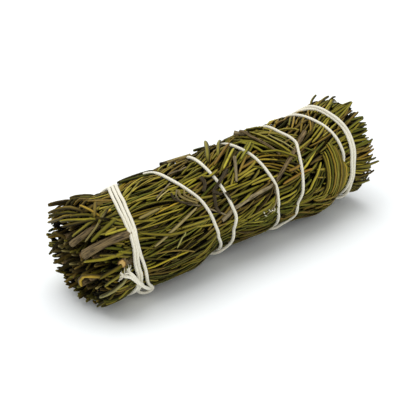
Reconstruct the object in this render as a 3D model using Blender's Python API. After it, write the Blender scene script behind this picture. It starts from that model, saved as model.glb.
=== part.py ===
"""A bundle of dried rosemary, tied along its whole length with one cotton string.

The bundle lies on its side: +X runs from the cut butt end to the needle tips, +Z is up, and the
part stands on z = 0. Nineteen sprigs are packed round one axis in a core, a middle ring and an
outer ring. Each sprig is a woody stem in a mass of pressed needles, which bulges between the
turns of string and is pinched under them. The string is one length: it starts in a knot beside
the butt band, climbs to the tip band, comes back across itself and ends in the same knot.

A place on the bundle is given by its turn angle (0 at the top, 90 at the side facing -Y, 180
underneath), its distance along X and its distance from the axis, all in millimetres and degrees.
The axis is an empty that every piece hangs on, placed so that the origin is under the middle of
the part's box.
"""

import math
import random

import bmesh
import bpy
import numpy as np
from mathutils import Matrix

MM = 0.001
SEED = 11

# The whole bundle, in millimetres
BUTT_X = -53.6
TIP_X = 56.4
AXIS_HEIGHT = 16.3
AXIS_SHIFT = (-1.068, 0.248)
STRING_PATH_RADIUS = 16.3
BULGE = 0.95
FLARE_BUTT = 0.75
FLARE_TIP = 0.35
GAP = 0.3

# The string
STRING_DIAMETER = 1.0
STRING_STEP = 4.3
STRING_SIDES_RESOLUTION = 2
STRING_CLEARANCE = 0.5
LIFT_OVER = 1.35
FLOOR_CLEARANCE = 0.03

# The packing of the sprigs: count, inner radius, outer radius, stem circle radius, stem radius.
# The outer ring has no outer radius of its own, because its skin follows the string.
CORE = (1, 0.0, 5.0, 0.0, 1.35)
MIDDLE = (6, 5.3, 10.5, 7.9, 1.2)
OUTER = (12, 10.8, None, 12.9, 0.95)
STEM_TIP_SHARE = 0.55
STEM_END_X = 30.0
BORE_SIDES = 10
BORE_ROLL = math.radians(7.3)

# Where a stretch between two turns of string is long enough to bulge
BULGE_MIN_GAP = 6.5
SHOULDER_SHARE = 0.24
SHOULDER_MIN = 2.3
STATION_MIN_STEP = 0.7

# Loose twigs caught on the outside: start and end as (turn angle, x), and the radius
TWIGS = (
    ("loose_twig_1", (34.0, 24.4), (60.0, 14.6), 0.75),
    ("loose_twig_2", (74.0, -4.6), (57.0, 8.2), 0.7),
)

# The string's route, by hand: (turn, turn angle, x, lift over what lies beneath)
KNOT_ANGLE = 143.0
WINDING_TURNS = 10
ROUTE = (
    # first cut end, over the butt band to the knot
    (0, 89.0, -52.3, 1.75), (0, 99.0, -49.7, 1.5), (0, 109.0, -46.8, 1.45), (0, 117.0, -44.5, 1.45),
    (0, 125.0, -42.1, 1.4), (0, 134.0, -39.9, 0.5), (0, 143.0, -38.6, 0.0),
    # under the bundle and into the butt band
    (0, 180.0, -38.3, 0.0), (0, 210.0, -39.0, 0.0), (0, 238.0, -41.2, 0.0), (0, 268.0, -43.2, 0.0),
    (0, 320.0, -43.0, 0.0), (1, -7.0, -42.0, 0.0), (1, 18.0, -44.9, 0.0), (1, 38.0, -46.1, 0.0),
    (1, 60.0, -46.7, 0.0), (1, 97.0, -46.8, 0.0), (1, 130.0, -46.4, 0.0), (1, 170.0, -45.6, 0.0),
    (1, 200.0, -44.5, 0.0), (1, 225.0, -43.3, 0.4), (1, 250.0, -42.1, LIFT_OVER),
    (1, 275.0, -41.4, 0.4), (1, 310.0, -41.1, 0.0), (2, -7.0, -40.8, 0.0), (2, 18.0, -43.7, 0.0),
    (2, 38.0, -44.9, 0.0), (2, 60.0, -45.4, 0.0), (2, 97.0, -45.5, 0.0), (2, 130.0, -45.1, 0.0),
    (2, 170.0, -44.2, 0.0), (2, 200.0, -42.5, 0.4), (2, 226.0, -40.4, LIFT_OVER),
    (2, 250.0, -37.2, 0.3), (2, 276.0, -33.6, 0.0), (2, 305.0, -28.8, 0.0),
    # towards the tips
    (3, -24.0, -24.0, 0.0), (3, 10.0, -23.1, 0.0), (3, 29.0, -20.0, 0.0), (3, 48.0, -16.3, 0.0),
    (3, 67.0, -15.6, 0.0), (3, 91.0, -14.2, 0.0), (3, 128.0, -10.2, 0.0), (3, 160.0, -7.0, 0.0),
    (3, 210.0, -2.5, 0.0), (3, 242.0, 0.8, 0.0), (3, 290.0, 5.4, 0.0), (4, -33.0, 7.5, 0.0),
    (4, 1.0, 7.7, 0.0), (4, 25.0, 9.0, 0.0), (4, 48.0, 10.2, 0.0), (4, 70.0, 11.2, 0.0),
    (4, 97.0, 11.4, 0.0), (4, 118.0, 11.1, 0.0), (4, 134.0, 12.2, 0.0), (4, 170.0, 17.0, 0.0),
    (4, 220.0, 25.0, 0.0), (4, 254.0, 31.1, 0.0), (4, 300.0, 39.0, 0.0), (5, -30.0, 42.3, 0.0),
    (5, -2.0, 40.8, 0.0), (5, 14.0, 41.4, 0.0), (5, 37.0, 42.5, 0.0), (5, 63.0, 43.1, 0.0),
    (5, 85.0, 42.7, 0.0), (5, 101.0, 42.2, 0.0), (5, 120.0, 42.0, 0.0), (5, 160.0, 42.6, 0.0),
    (5, 220.0, 44.2, 0.0), (5, 280.0, 46.4, 0.0),
    # the tip band
    (6, -33.0, 48.2, 0.0), (6, 2.0, 47.4, 0.0), (6, 22.0, 48.0, 0.0), (6, 42.0, 47.8, 0.0),
    (6, 58.0, 47.3, 0.0), (6, 72.0, 46.0, 0.0), (6, 87.0, 44.9, 0.0), (6, 101.0, 43.7, 0.0),
    (6, 120.0, 43.4, 0.0), (6, 160.0, 44.0, 0.0), (6, 220.0, 45.7, 0.0), (6, 280.0, 47.9, 0.0),
    (7, -33.0, 49.5, 0.0), (7, 2.0, 48.7, 0.0), (7, 22.0, 49.3, 0.0), (7, 42.0, 49.1, 0.0),
    (7, 58.0, 48.6, 0.0), (7, 72.0, 47.3, 0.0), (7, 87.0, 46.1, 0.35), (7, 101.0, 44.4, LIFT_OVER),
    (7, 112.0, 41.8, LIFT_OVER), (7, 130.0, 39.6, 0.3), (7, 155.0, 37.8, 0.0),
    # back towards the butt, across the turns already made
    (7, 180.0, 36.0, 0.0), (7, 228.0, 32.7, 0.3), (7, 254.0, 31.1, LIFT_OVER), (7, 280.0, 29.6, 0.3),
    (8, -33.0, 27.8, 0.0), (8, 4.0, 26.2, 0.0), (8, 26.0, 27.4, 0.0), (8, 48.0, 25.0, 0.0),
    (8, 69.0, 22.9, 0.0), (8, 90.0, 21.0, 0.0), (8, 106.0, 19.9, 0.0), (8, 120.0, 16.8, 0.6),
    (8, 134.0, 12.4, LIFT_OVER), (8, 152.0, 9.6, 0.2), (8, 180.0, 6.8, 0.0), (8, 216.0, 3.5, 0.3),
    (8, 242.0, 0.8, LIFT_OVER), (8, 268.0, -1.9, 0.3), (8, 300.0, -4.8, 0.0), (9, -33.0, -6.3, 0.0),
    (9, -5.0, -8.1, 0.0), (9, 18.0, -7.7, 0.0), (9, 41.0, -7.2, 0.0), (9, 65.0, -6.8, 0.0),
    (9, 86.0, -7.6, 0.0), (9, 105.0, -8.4, 0.5), (9, 126.0, -10.4, LIFT_OVER), (9, 148.0, -13.6, 0.2),
    (9, 175.0, -18.0, 0.0), (9, 210.0, -24.0, 0.0), (9, 250.0, -30.0, 0.3),
    (9, 276.0, -33.6, LIFT_OVER), (9, 300.0, -36.4, 0.3), (9, 330.0, -38.4, 0.0),
    # the third strand of the butt band, down to the knot
    (10, -7.0, -39.5, 0.0), (10, 18.0, -42.4, 0.0), (10, 38.0, -43.6, 0.0), (10, 58.0, -44.1, 0.0),
    (10, 76.0, -44.1, 0.0), (10, 94.0, -43.0, 0.0), (10, 114.0, -40.8, 0.0), (10, 128.0, -38.6, 0.3),
    (10, 136.0, -37.6, 1.0), (10, 142.0, -38.2, 1.5), (10, 146.0, -39.9, 1.2), (10, 143.0, -41.6, 0.3),
    (10, 134.0, -42.6, 0.0), (10, 124.0, -42.9, 0.0), (10, 115.0, -43.2, 0.8),
    # second cut end, back over the butt band
    (10, 107.0, -44.8, 1.45), (10, 99.0, -47.2, 1.45), (10, 90.0, -49.4, 1.5), (10, 82.0, -50.9, 1.6),
)

LEAF_GREEN = (0.145, 0.135, 0.030)
LEAF_BROWN = (0.110, 0.075, 0.030)
STEM_BROWN = (0.170, 0.110, 0.065)
STRING_CREAM = (0.800, 0.760, 0.660)


def clear_scene():
    """Remove every object of the opened scene."""
    for leftover in list(bpy.data.objects):
        bpy.data.objects.remove(leftover, do_unlink=True)


def new_collection(name):
    """Make a collection under the scene's own collection."""
    collection = bpy.data.collections.new(name)
    bpy.context.scene.collection.children.link(collection)
    return collection


def principled(name, color, roughness):
    """Make a Principled BSDF material without metal."""
    material = bpy.data.materials.new(name)
    material.use_nodes = True
    shader = material.node_tree.nodes["Principled BSDF"]
    shader.inputs["Base Color"].default_value = (*color, 1.0)
    shader.inputs["Roughness"].default_value = roughness
    shader.inputs["Metallic"].default_value = 0.0
    return material


def polar(angle, x, radius):
    """Turn a place on the bundle, in millimetres, into a point in metres about the axis."""
    turn = math.radians(angle)
    return (x * MM, -radius * math.sin(turn) * MM, radius * math.cos(turn) * MM)


def string_path_radius(x):
    """Distance of the string's centre line from the axis: pulled in at the two bands."""
    butt_pull = 0.3 * math.exp(-(((x + 43.5) / 7.0) ** 2))
    tip_pull = 0.7 * math.exp(-(((x - 47.0) / 7.0) ** 2))
    return STRING_PATH_RADIUS - butt_pull - tip_pull


def pinch_radius(x):
    """Distance of the leaves from the axis right under the string."""
    return string_path_radius(x) - 0.5 * STRING_DIAMETER - STRING_CLEARANCE


def pressed(angle, radius, height):
    """Shorten a radius near the underside so that the point stays at or above a height."""
    down = -math.cos(math.radians(angle))
    room = AXIS_HEIGHT - height
    if down * radius <= room:
        return radius
    return room / down


def smooth_route(step):
    """Pass a centripetal Catmull-Rom curve through ROUTE.

    Returns an array with one row for each sample: unwrapped turn angle in degrees, x and lift.
    """
    keys = np.array([(360.0 * turn + angle, x, lift) for turn, angle, x, lift in ROUTE])
    arc = np.radians(keys[:, 0]) * STRING_PATH_RADIUS
    flat = np.column_stack((arc, keys[:, 1], keys[:, 2]))
    spans = np.sqrt(np.linalg.norm(np.diff(flat, axis=0), axis=1))
    knots = np.concatenate(([0.0], np.cumsum(spans)))
    slopes = np.gradient(flat, knots, axis=0)
    samples = []
    for index, span in enumerate(spans):
        length = np.linalg.norm(flat[index + 1] - flat[index])
        count = max(1, round(length / step))
        for share in np.arange(count) / count:
            rise = share * share * (3.0 - 2.0 * share)
            lead = span * share * (1.0 - share) ** 2
            trail = span * share * share * (1.0 - share)
            point = flat[index] + rise * (flat[index + 1] - flat[index])
            samples.append(point + lead * slopes[index] - trail * slopes[index + 1])
    samples.append(flat[-1])
    samples = np.array(samples)
    angles = np.degrees(samples[:, 0] / STRING_PATH_RADIUS)
    return np.column_stack((angles, samples[:, 1], np.maximum(samples[:, 2], 0.0)))


def passes_at(angle, route):
    """List where along X the string passes at one turn angle, in rising order."""
    winding = route[:np.argmax(route[:, 0]) + 1]
    places = []
    for turn in range(WINDING_TURNS + 1):
        unwrapped = 360.0 * turn + angle % 360.0
        if KNOT_ANGLE <= unwrapped < KNOT_ANGLE + 360.0 * WINDING_TURNS:
            places.append(float(np.interp(unwrapped, winding[:, 0], winding[:, 1])))
    places.sort()
    for index in range(1, len(places)):
        places[index] = max(places[index], places[index - 1] + STATION_MIN_STEP)
    return places


def outer_stations(angle, route, bulging):
    """List (x, radius) along the outer skin at one turn angle, butt end and tip end left out.

    Args:
        angle: turn angle in degrees.
        route: the string's smooth route.
        bulging: for each stretch between two passes, whether the leaves bulge there.
    """
    places = passes_at(angle, route)
    stations = []
    for index, x in enumerate(places):
        under_string = pressed(angle, pinch_radius(x), STRING_DIAMETER + GAP - 0.1)
        stations.append((x, under_string))
        if index + 1 < len(places) and bulging[index]:
            inset = max(SHOULDER_SHARE * (places[index + 1] - x), SHOULDER_MIN)
            for shoulder in (x + inset, places[index + 1] - inset):
                radius = string_path_radius(shoulder) + BULGE
                stations.append((shoulder, pressed(angle, radius, 0.0)))
    return stations


def ragged(rng, spread):
    """Pick how far one corner of a cut end stands out."""
    return rng.uniform(-spread, spread)


def link_mesh(name, rings, collection, material):
    """Loft closed rings of equal size into one solid with flat ends.

    Args:
        name: the node's name.
        rings: list of rings, each a list of points in metres, from butt to tip.
        collection: where the object goes.
        material: its material.
    """
    mesh = bpy.data.meshes.new(name)
    shape = bmesh.new()
    rows = [[shape.verts.new(point) for point in ring] for ring in rings]
    size = len(rows[0])
    for row, following in zip(rows, rows[1:]):
        for index in range(size):
            after = (index + 1) % size
            shape.faces.new((row[index], row[after], following[after], following[index]))
    shape.faces.new(list(reversed(rows[0])))
    shape.faces.new(rows[-1])
    bmesh.ops.triangulate(shape, faces=shape.faces)
    shape.to_mesh(mesh)
    shape.free()
    mesh.materials.append(material)
    solid = bpy.data.objects.new(name, mesh)
    collection.objects.link(solid)
    return solid


def tube(name, points, radii, collection, material, resolution):
    """Make a capped round tube through points in metres, with a radius for each point."""
    curve = bpy.data.curves.new(name, "CURVE")
    curve.dimensions = "3D"
    curve.bevel_depth = 1.0 * MM
    curve.bevel_resolution = resolution
    curve.use_fill_caps = True
    line = curve.splines.new("POLY")
    line.points.add(len(points) - 1)
    for slot, point, radius in zip(line.points, points, radii):
        slot.co = (*point, 1.0)
        slot.radius = radius
    line.use_smooth = True
    curve.materials.append(material)
    solid = bpy.data.objects.new(name, curve)
    collection.objects.link(solid)
    return solid


def bore(leaves, points, radii, cutters):
    """Cut the channel of a stem out of a mass of leaves, open at the butt end."""
    mesh = bpy.data.meshes.new(leaves.name + "_channel")
    shape = bmesh.new()
    start, end = points
    lying = Matrix.Rotation(math.pi / 2.0, 4, "Y") @ Matrix.Rotation(BORE_ROLL, 4, "Z")
    bmesh.ops.create_cone(shape, cap_ends=True, segments=BORE_SIDES, radius1=radii[0],
                          radius2=radii[1], depth=end[0] - start[0], matrix=lying)
    shape.to_mesh(mesh)
    shape.free()
    cutter = bpy.data.objects.new(leaves.name + "_channel", mesh)
    cutter.location = ((start[0] + end[0]) / 2.0, start[1], start[2])
    cutter.hide_render = True
    cutter.display_type = "WIRE"
    cutters.objects.link(cutter)
    cut = leaves.modifiers.new("stem_channel", "BOOLEAN")
    cut.operation = "DIFFERENCE"
    cut.solver = "MANIFOLD"
    cut.object = cutter
    return cutter


def outer_rings(centre, half_width, inner, route, rng):
    """Make the rings of one outer sprig's leaves.

    The ring has five corners on the skin and three on the inner side. Every station follows the
    string's own slant, so that the leaves are pinched right under it.
    """
    skin_angles = [centre + half_width * share for share in (-1.0, -0.5, 0.0, 0.5, 1.0)]
    inner_angles = [centre + half_width * share for share in (1.0, 0.0, -1.0)]
    middle = passes_at(centre, route)
    bulging = [after - before > BULGE_MIN_GAP for before, after in zip(middle, middle[1:])]
    corners = []
    for place, angle in enumerate(skin_angles + inner_angles):
        stations = outer_stations(angle, route, bulging)
        butt_flare = string_path_radius(BUTT_X) + FLARE_BUTT
        tip_flare = string_path_radius(TIP_X) + FLARE_TIP
        butt_mid = (stations[0][0] + BUTT_X) / 2.0 + 0.5
        tip_mid = (stations[-1][0] + TIP_X) / 2.0
        butt = [(BUTT_X + ragged(rng, 1.6), pressed(angle, butt_flare - 0.6, 0.3)),
                (butt_mid, pressed(angle, butt_flare, 0.0))]
        tip = [(tip_mid, pressed(angle, tip_flare, 0.2)),
               (TIP_X + ragged(rng, 1.5), pressed(angle, tip_flare - 0.5, 0.4))]
        line = butt + stations + tip
        if place >= len(skin_angles):
            line = [(x, inner) for x, _ in line]
        corners.append([polar(angle, x, radius) for x, radius in line])
    return [list(ring) for ring in zip(*corners)]


def inner_rings(centre, half_width, inner, outer, rng):
    """Make the rings of a middle sprig's leaves: a plain sector with ragged ends."""
    angles = [centre + half_width * share for share in (-1.0, -0.33, 0.33, 1.0)]
    rings = []
    for x, spread in ((BUTT_X, 1.4), (BUTT_X + 6.0, 0.0), (0.0, 0.0), (TIP_X - 6.0, 0.0), (TIP_X, 1.4)):
        ring = [polar(angle, x + ragged(rng, spread), outer) for angle in angles]
        ring += [polar(angle, x + ragged(rng, spread), inner) for angle in reversed(angles)]
        rings.append(ring)
    return rings


def core_rings(outer, rng):
    """Make the rings of the core sprig's leaves: a ten-sided rod with ragged ends."""
    angles = [36.0 * index for index in range(10)]
    rings = []
    for x, spread in ((BUTT_X, 1.2), (BUTT_X + 6.0, 0.0), (TIP_X - 6.0, 0.0), (TIP_X, 1.2)):
        rings.append([polar(angle, x + ragged(rng, spread), outer) for angle in angles])
    return rings


def sprig(number, rings, angle, circle, stem_radius, rng, groups, parent):
    """Build one sprig: its pressed leaves and the stem in their channel."""
    parts, cutters = groups
    name = f"sprig_{number:02d}"
    mix = rng.uniform(0.0, 0.6)
    green = [a * (1.0 - mix) + b * mix for a, b in zip(LEAF_GREEN, LEAF_BROWN)]
    leaves = link_mesh(name + "_leaves", rings, parts, principled(name + "_leaf", green, 0.75))
    leaves.parent = parent
    cut_x = BUTT_X - 1.2 + ragged(rng, 1.3)
    end_x = STEM_END_X + ragged(rng, 6.0)
    tip_radius = stem_radius * STEM_TIP_SHARE
    points = [polar(angle, cut_x, circle), polar(angle, end_x, circle)]
    stem = tube(name + "_stem", points, (stem_radius, tip_radius), parts,
                principled(name + "_bark", STEM_BROWN, 0.85), 2)
    stem.parent = parent
    channel = [polar(angle, BUTT_X - 6.0, circle), polar(angle, end_x + GAP, circle)]
    wider = [(radius + GAP) / math.cos(math.pi / BORE_SIDES) * MM for radius in (stem_radius, tip_radius)]
    cutter = bore(leaves, channel, wider, cutters)
    cutter.parent = parent


def build_sprigs(route, rng, groups, parent):
    """Build the core sprig, the middle ring and the outer ring."""
    number = 1
    count, _, outer, circle, stem_radius = CORE
    sprig(number, core_rings(outer, rng), 0.0, circle, stem_radius, rng, groups, parent)
    for count, inner, outer, circle, stem_radius in (MIDDLE, OUTER):
        for index in range(count):
            number += 1
            centre = 360.0 * index / count
            half_width = 180.0 / count - math.degrees(0.5 * GAP / inner)
            if outer is None:
                rings = outer_rings(centre, half_width, inner, route, rng)
            else:
                rings = inner_rings(centre, half_width, inner, outer, rng)
            sprig(number, rings, centre, circle, stem_radius, rng, groups, parent)


def build_twigs(collection, parent):
    """Lay the loose twigs on the skin, clear of the string."""
    for name, start, end, radius in TWIGS:
        points = []
        for share in (0.0, 0.25, 0.5, 0.75, 1.0):
            angle = start[0] + share * (end[0] - start[0])
            x = start[1] + share * (end[1] - start[1])
            points.append(polar(angle, x, string_path_radius(x) + BULGE + GAP + radius))
        twig = tube(name, points, [radius * (1.1 - 0.06 * step) for step in range(5)], collection,
                    principled(name + "_bark", STEM_BROWN, 0.85), 2)
        twig.parent = parent


def build_string(route, collection, parent):
    """Wind the string along its route, never lower than the surface it lies on."""
    radius = 0.5 * STRING_DIAMETER
    points = []
    for angle, x, lift in route:
        distance = pressed(angle, string_path_radius(x) + lift, radius + FLOOR_CLEARANCE)
        points.append(polar(angle, x, distance))
    string = tube("cotton_string", points, [radius] * len(points), collection,
                  principled("cotton_string", STRING_CREAM, 0.9), STRING_SIDES_RESOLUTION)
    string.parent = parent


def main():
    """Build the whole bundle."""
    clear_scene()
    parts = new_collection("rosemary_bundle")
    cutters = new_collection("cutters")
    axis = bpy.data.objects.new("bundle_axis", None)
    axis.location = (AXIS_SHIFT[0] * MM, AXIS_SHIFT[1] * MM, AXIS_HEIGHT * MM)
    parts.objects.link(axis)
    rng = random.Random(SEED)
    route = smooth_route(STRING_STEP)
    fine_route = smooth_route(0.5)
    build_sprigs(fine_route, rng, (parts, cutters), axis)
    build_twigs(parts, axis)
    build_string(route, parts, axis)


main()
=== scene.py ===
"""The looks of a dried rosemary bundle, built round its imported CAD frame.

The bundle lies on its side, from the cut butt end at -X to the trimmed needle tips at +X. Its
outside is a coat of single dried needles, laid one by one on a map of how high the coat already
is, so that each needle rests on those beneath it and dips under the string. Both ends are brushes
of needles and cut stems round a dark hollow. One cotton string is wound round the whole.

A place on the bundle is given as in the CAD: by its turn angle (0 at the top, 90 at the side
facing -Y, 180 underneath), its distance along the axis and its distance from the axis, in degrees
and millimetres. Meshes are written in metres, in the row frame.
"""

import logging
from dataclasses import dataclass, field
from enum import Enum

import bpy
import numpy as np
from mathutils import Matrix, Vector

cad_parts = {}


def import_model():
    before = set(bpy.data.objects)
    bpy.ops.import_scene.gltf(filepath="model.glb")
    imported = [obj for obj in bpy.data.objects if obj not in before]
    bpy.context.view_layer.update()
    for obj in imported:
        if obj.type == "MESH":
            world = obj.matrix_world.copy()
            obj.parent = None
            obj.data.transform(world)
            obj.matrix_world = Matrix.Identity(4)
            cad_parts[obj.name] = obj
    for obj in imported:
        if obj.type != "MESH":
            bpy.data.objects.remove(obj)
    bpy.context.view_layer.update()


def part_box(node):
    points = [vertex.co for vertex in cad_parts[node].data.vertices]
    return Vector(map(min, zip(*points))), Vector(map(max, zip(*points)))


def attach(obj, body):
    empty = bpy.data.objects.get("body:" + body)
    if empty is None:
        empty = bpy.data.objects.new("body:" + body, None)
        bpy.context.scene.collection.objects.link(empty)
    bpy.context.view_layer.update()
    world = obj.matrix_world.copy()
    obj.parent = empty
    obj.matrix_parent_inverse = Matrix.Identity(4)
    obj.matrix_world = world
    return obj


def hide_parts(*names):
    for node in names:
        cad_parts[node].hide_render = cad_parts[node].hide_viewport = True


LOG = logging.getLogger("rosemary_bundle")
Array = np.ndarray
Material = bpy.types.Material
Socket = bpy.types.NodeSocket

MM = 0.001
# Steps of the golden ratio's share, of a range or of a turn in degrees, never fall into a pattern
GOLDEN = 0.618
GOLDEN_ANGLE = 137.508
FULL_TURN = 360.0
SEED = 23

# The axis and the string's path, in millimetres. All are the CAD source's values but the string's
# thickness, which is 1.0 there.
AXIS_X = -1.068
STRING_PATH_RADIUS = 16.3
STRING_DIAMETER = 1.05
LIFT_OVER = 1.35
BUTT_X = -53.6
TIP_X = 56.4

# The string's route, as (turn, turn angle, x, lift). It winds as the CAD source's does, but not key
# by key: the strands of its bands are moved and pressed together, and it is moved where the bundle
# has its waist. The keys on the side that shows are measured; the others are chosen to join them.
ROUTE = (
    # first cut end, over the butt band to the knot
    (0, 91.5, -52.6, 1.6), (0, 95, -50.2, 1.5), (0, 102, -48, 1.4), (0, 111, -45.5, 1.45),
    (0, 121, -42.6, 1.4), (0, 130, -40, 1.2), (0, 138, -38.3, 0.6), (0, 146, -38.4, 0),
    # under the bundle and into the butt band
    (0, 180, -38.3, 0), (0, 210, -38.3, 0), (0, 240, -38.3, 0), (0, 270, -38.2, 0), (0, 300, -38, 0),
    (1, -33, -37.9, 0), (1, -12, -41, 0), (1, 2, -43, 0), (1, 14, -44.3, 0), (1, 24, -45.2, 0),
    (1, 33, -45.6, 0), (1, 42, -46, 0), (1, 58, -46.3, 0), (1, 72, -46.8, 0), (1, 81, -47.2, 0),
    (1, 91, -46.9, 0), (1, 100, -46, 0), (1, 111, -45.3, 0), (1, 124, -44.7, 0), (1, 145, -44.7, 0),
    (1, 170, -44.9, 0), (1, 200, -43.8, 0), (1, 225, -42.2, 0), (1, 242, -40.9, 0.2),
    (1, 256, -39.6, 0.95), (1, 270, -38.2, LIFT_OVER), (1, 284, -36.9, 0.9), (1, 300, -36.4, 0),
    (2, -33, -36.5, 0), (2, -12, -39.6, 0), (2, 2, -41.6, 0), (2, 14, -42.9, 0), (2, 24, -43.9, 0.1),
    (2, 33, -44.5, 0.1), (2, 42, -44.9, 0.1), (2, 58, -45.3, 0.2), (2, 72, -45.8, 0.2),
    (2, 81, -46.1, 0.1), (2, 91, -45.8, 0.1), (2, 100, -44.9, 0.1), (2, 111, -44.2, 0),
    (2, 124, -43.5, 0), (2, 145, -43.3, 0), (2, 170, -43.6, 0), (2, 200, -42.4, 0),
    (2, 222, -40.5, 0.3), (2, 240, -38.3, LIFT_OVER), (2, 256, -36.3, 0.3), (2, 276, -33.6, 0),
    (2, 305, -28.8, 0),
    # towards the tips
    (3, -24, -23.8, 0), (3, 10, -22.6, 0), (3, 29, -20.7, 0), (3, 48, -18.1, 0), (3, 67, -16.5, 0),
    (3, 80, -15.6, 0), (3, 92, -14, 0), (3, 113, -10.9, 0), (3, 130, -8.9, 0), (3, 160, -6.4, 0),
    (3, 210, -2.5, 0), (3, 242, 0.8, 0), (3, 290, 5.4, 0), (4, -33, 7.5, 0), (4, 1, 7.7, 0),
    (4, 25, 9, 0), (4, 48, 10.2, 0), (4, 66, 11.2, 0), (4, 79, 10.9, 0), (4, 90, 11.5, 0),
    (4, 103, 13.3, 0), (4, 126, 15.3, 0), (4, 147, 17, 0), (4, 180, 20, 0), (4, 220, 25, 0),
    (4, 254, 31.1, 0), (4, 300, 37.3, 0), (5, -30, 39.3, 0), (5, -10, 39.4, 0), (5, 2, 39.7, 0),
    (5, 13, 40.2, 0), (5, 24, 41.1, 0), (5, 35, 41.9, 0), (5, 46, 42.5, 0), (5, 58, 42.8, 0),
    (5, 67, 43.1, -0.2), (5, 75, 43.3, -0.9), (5, 86, 43.2, -1.4), (5, 101, 42.6, -1.4),
    (5, 120, 42, -1.5), (5, 160, 42.6, -0.8), (5, 220, 43, 0), (5, 280, 42.9, 0),
    # the tip band
    (6, -33, 43.9, 0), (6, -20, 45.5, 0), (6, -8, 46.2, 0), (6, 4, 46.2, 0), (6, 15, 46.4, 0),
    (6, 26, 47, 0), (6, 36, 47.4, 0), (6, 46, 47.4, 0), (6, 55, 47.3, 0), (6, 64, 47.1, 0),
    (6, 74, 46.7, 0), (6, 82, 46.2, 0), (6, 92, 46.3, 0), (6, 103, 46.6, 0), (6, 116, 46.6, 0),
    (6, 130, 47.2, 0), (6, 145, 47.6, 0), (6, 170, 46.5, 0), (6, 220, 44.4, 0), (6, 280, 44.2, 0),
    (7, -33, 45.2, 0.3), (7, -20, 46.3, 0.75), (7, -8, 46.5, 0.8), (7, 4, 46.5, 0.85),
    (7, 15, 46.7, 0.85), (7, 26, 47.3, 0.85), (7, 36, 47.8, 0.75), (7, 46, 48.2, 0.45),
    (7, 55, 48.2, 0.35), (7, 64, 48.1, 0.3), (7, 74, 47.8, 0.2), (7, 82, 47.4, 0.1), (7, 92, 47.4, 0),
    (7, 103, 47.7, 0), (7, 115, 47.7, 0.2), (7, 127, 48, 0.8), (7, 139, 47.4, LIFT_OVER),
    (7, 150, 44.8, 0.6), (7, 162, 41.4, 0.1),
    # back towards the butt, across the turns already made
    (7, 185, 37, 0), (7, 228, 32.7, 0.3), (7, 254, 31.1, LIFT_OVER), (7, 280, 29.6, 0.3),
    (8, -33, 27, 0), (8, 4, 25.1, 0), (8, 18, 26.2, 0), (8, 28, 26.5, 0), (8, 36, 25.3, 0),
    (8, 48, 23.9, 0), (8, 66, 22.4, 0), (8, 78, 21.6, 0), (8, 90, 21, 0), (8, 104, 21.8, 0),
    (8, 123, 23.1, 0), (8, 136, 23.2, 0.1), (8, 144, 20.6, 0.6), (8, 150, 17.4, LIFT_OVER),
    (8, 160, 13.4, 0.4), (8, 182, 8, 0), (8, 216, 3.5, 0.3), (8, 242, 0.8, LIFT_OVER),
    (8, 268, -1.9, 0.3), (8, 300, -4.8, 0), (9, -33, -6.3, 0), (9, -5, -8.2, 0), (9, 18, -9.1, 0),
    (9, 41, -8.8, 0), (9, 65, -7.9, 0), (9, 78, -7.1, 0), (9, 88, -7.2, 0), (9, 108, -5.6, 0),
    (9, 129, -4.6, 0.2), (9, 140, -5.2, 0.7), (9, 149, -7.6, LIFT_OVER), (9, 162, -11.4, 0.3),
    (9, 183, -17.5, 0), (9, 210, -24, 0), (9, 250, -30, 0.3), (9, 276, -33.6, LIFT_OVER),
    (9, 300, -35, 0.2),
    # the third strand of the butt band, down to the knot
    (10, -33, -35.1, 0), (10, -12, -38.3, 0), (10, 2, -40.3, 0), (10, 14, -41.5, 0.1),
    (10, 24, -42.6, 0.1), (10, 33, -43.2, 0.1), (10, 42, -43.7, 0.2), (10, 50, -44.2, 0.4),
    (10, 58, -44.9, 0.55), (10, 68, -45.2, 0.55), (10, 78, -44.9, 0.4), (10, 87, -44.1, 0.1),
    (10, 96, -43.3, 0), (10, 107, -42.4, 0), (10, 120, -41, 0), (10, 129, -39.4, 0.2),
    (10, 136, -37.6, 1), (10, 142, -38.2, 1.5), (10, 146, -39.9, 1.2), (10, 143, -41.6, 0.3),
    (10, 134, -42.6, 0), (10, 124, -43.2, 0), (10, 116, -43.9, 0.8),
    # second cut end, back over the butt band
    (10, 106, -46.4, 1.5), (10, 99, -48.2, 1.6), (10, 95, -49, 1.6), (10, 89.5, -50.7, 1.6),
)


def linear(hex_colour: str) -> tuple[float, float, float, float]:
    """Turn an sRGB hex colour into linear RGBA.

    Each channel c becomes c / 12.92 below 0.04045, and ((c + 0.055) / 1.055) ** 2.4 above it.

    Args:
        hex_colour: six hex digits, with a leading #.

    Returns:
        The linear colour with full alpha.
    """
    code = hex_colour.lstrip("#")
    channels = [int(code[place:place + 2], 16) / 255.0 for place in (0, 2, 4)]
    bright = [c / 12.92 if c <= 0.04045 else ((c + 0.055) / 1.055) ** 2.4 for c in channels]
    return (*bright, 1.0)


def add_node(tree: bpy.types.NodeTree, kind: str, settings: dict | None = None,
             stops: tuple = ()) -> bpy.types.Node:
    """Add one node with its settings and links.

    Args:
        tree: the node tree that it goes into.
        kind: the node's type, such as TexNoise.
        settings: values by name or number. A name that the node itself has is set on the node; any
            other name or number is an input, which takes a value or is linked to an output socket.
        stops: for a colour ramp, its (position, hex colour) stops.

    Returns:
        The new node.
    """
    node = tree.nodes.new("ShaderNode" + kind)
    for name, value in (settings or {}).items():
        if isinstance(name, str) and hasattr(node, name):
            setattr(node, name, value)
        elif isinstance(value, Socket):
            tree.links.new(value, node.inputs[name])
        else:
            node.inputs[name].default_value = value
    if stops:
        ramp = node.color_ramp
        while len(ramp.elements) < len(stops):
            ramp.elements.new(1.0)
        for element, (position, colour) in zip(ramp.elements, stops):
            element.position = position
            element.color = linear(colour)
    return node


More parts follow.
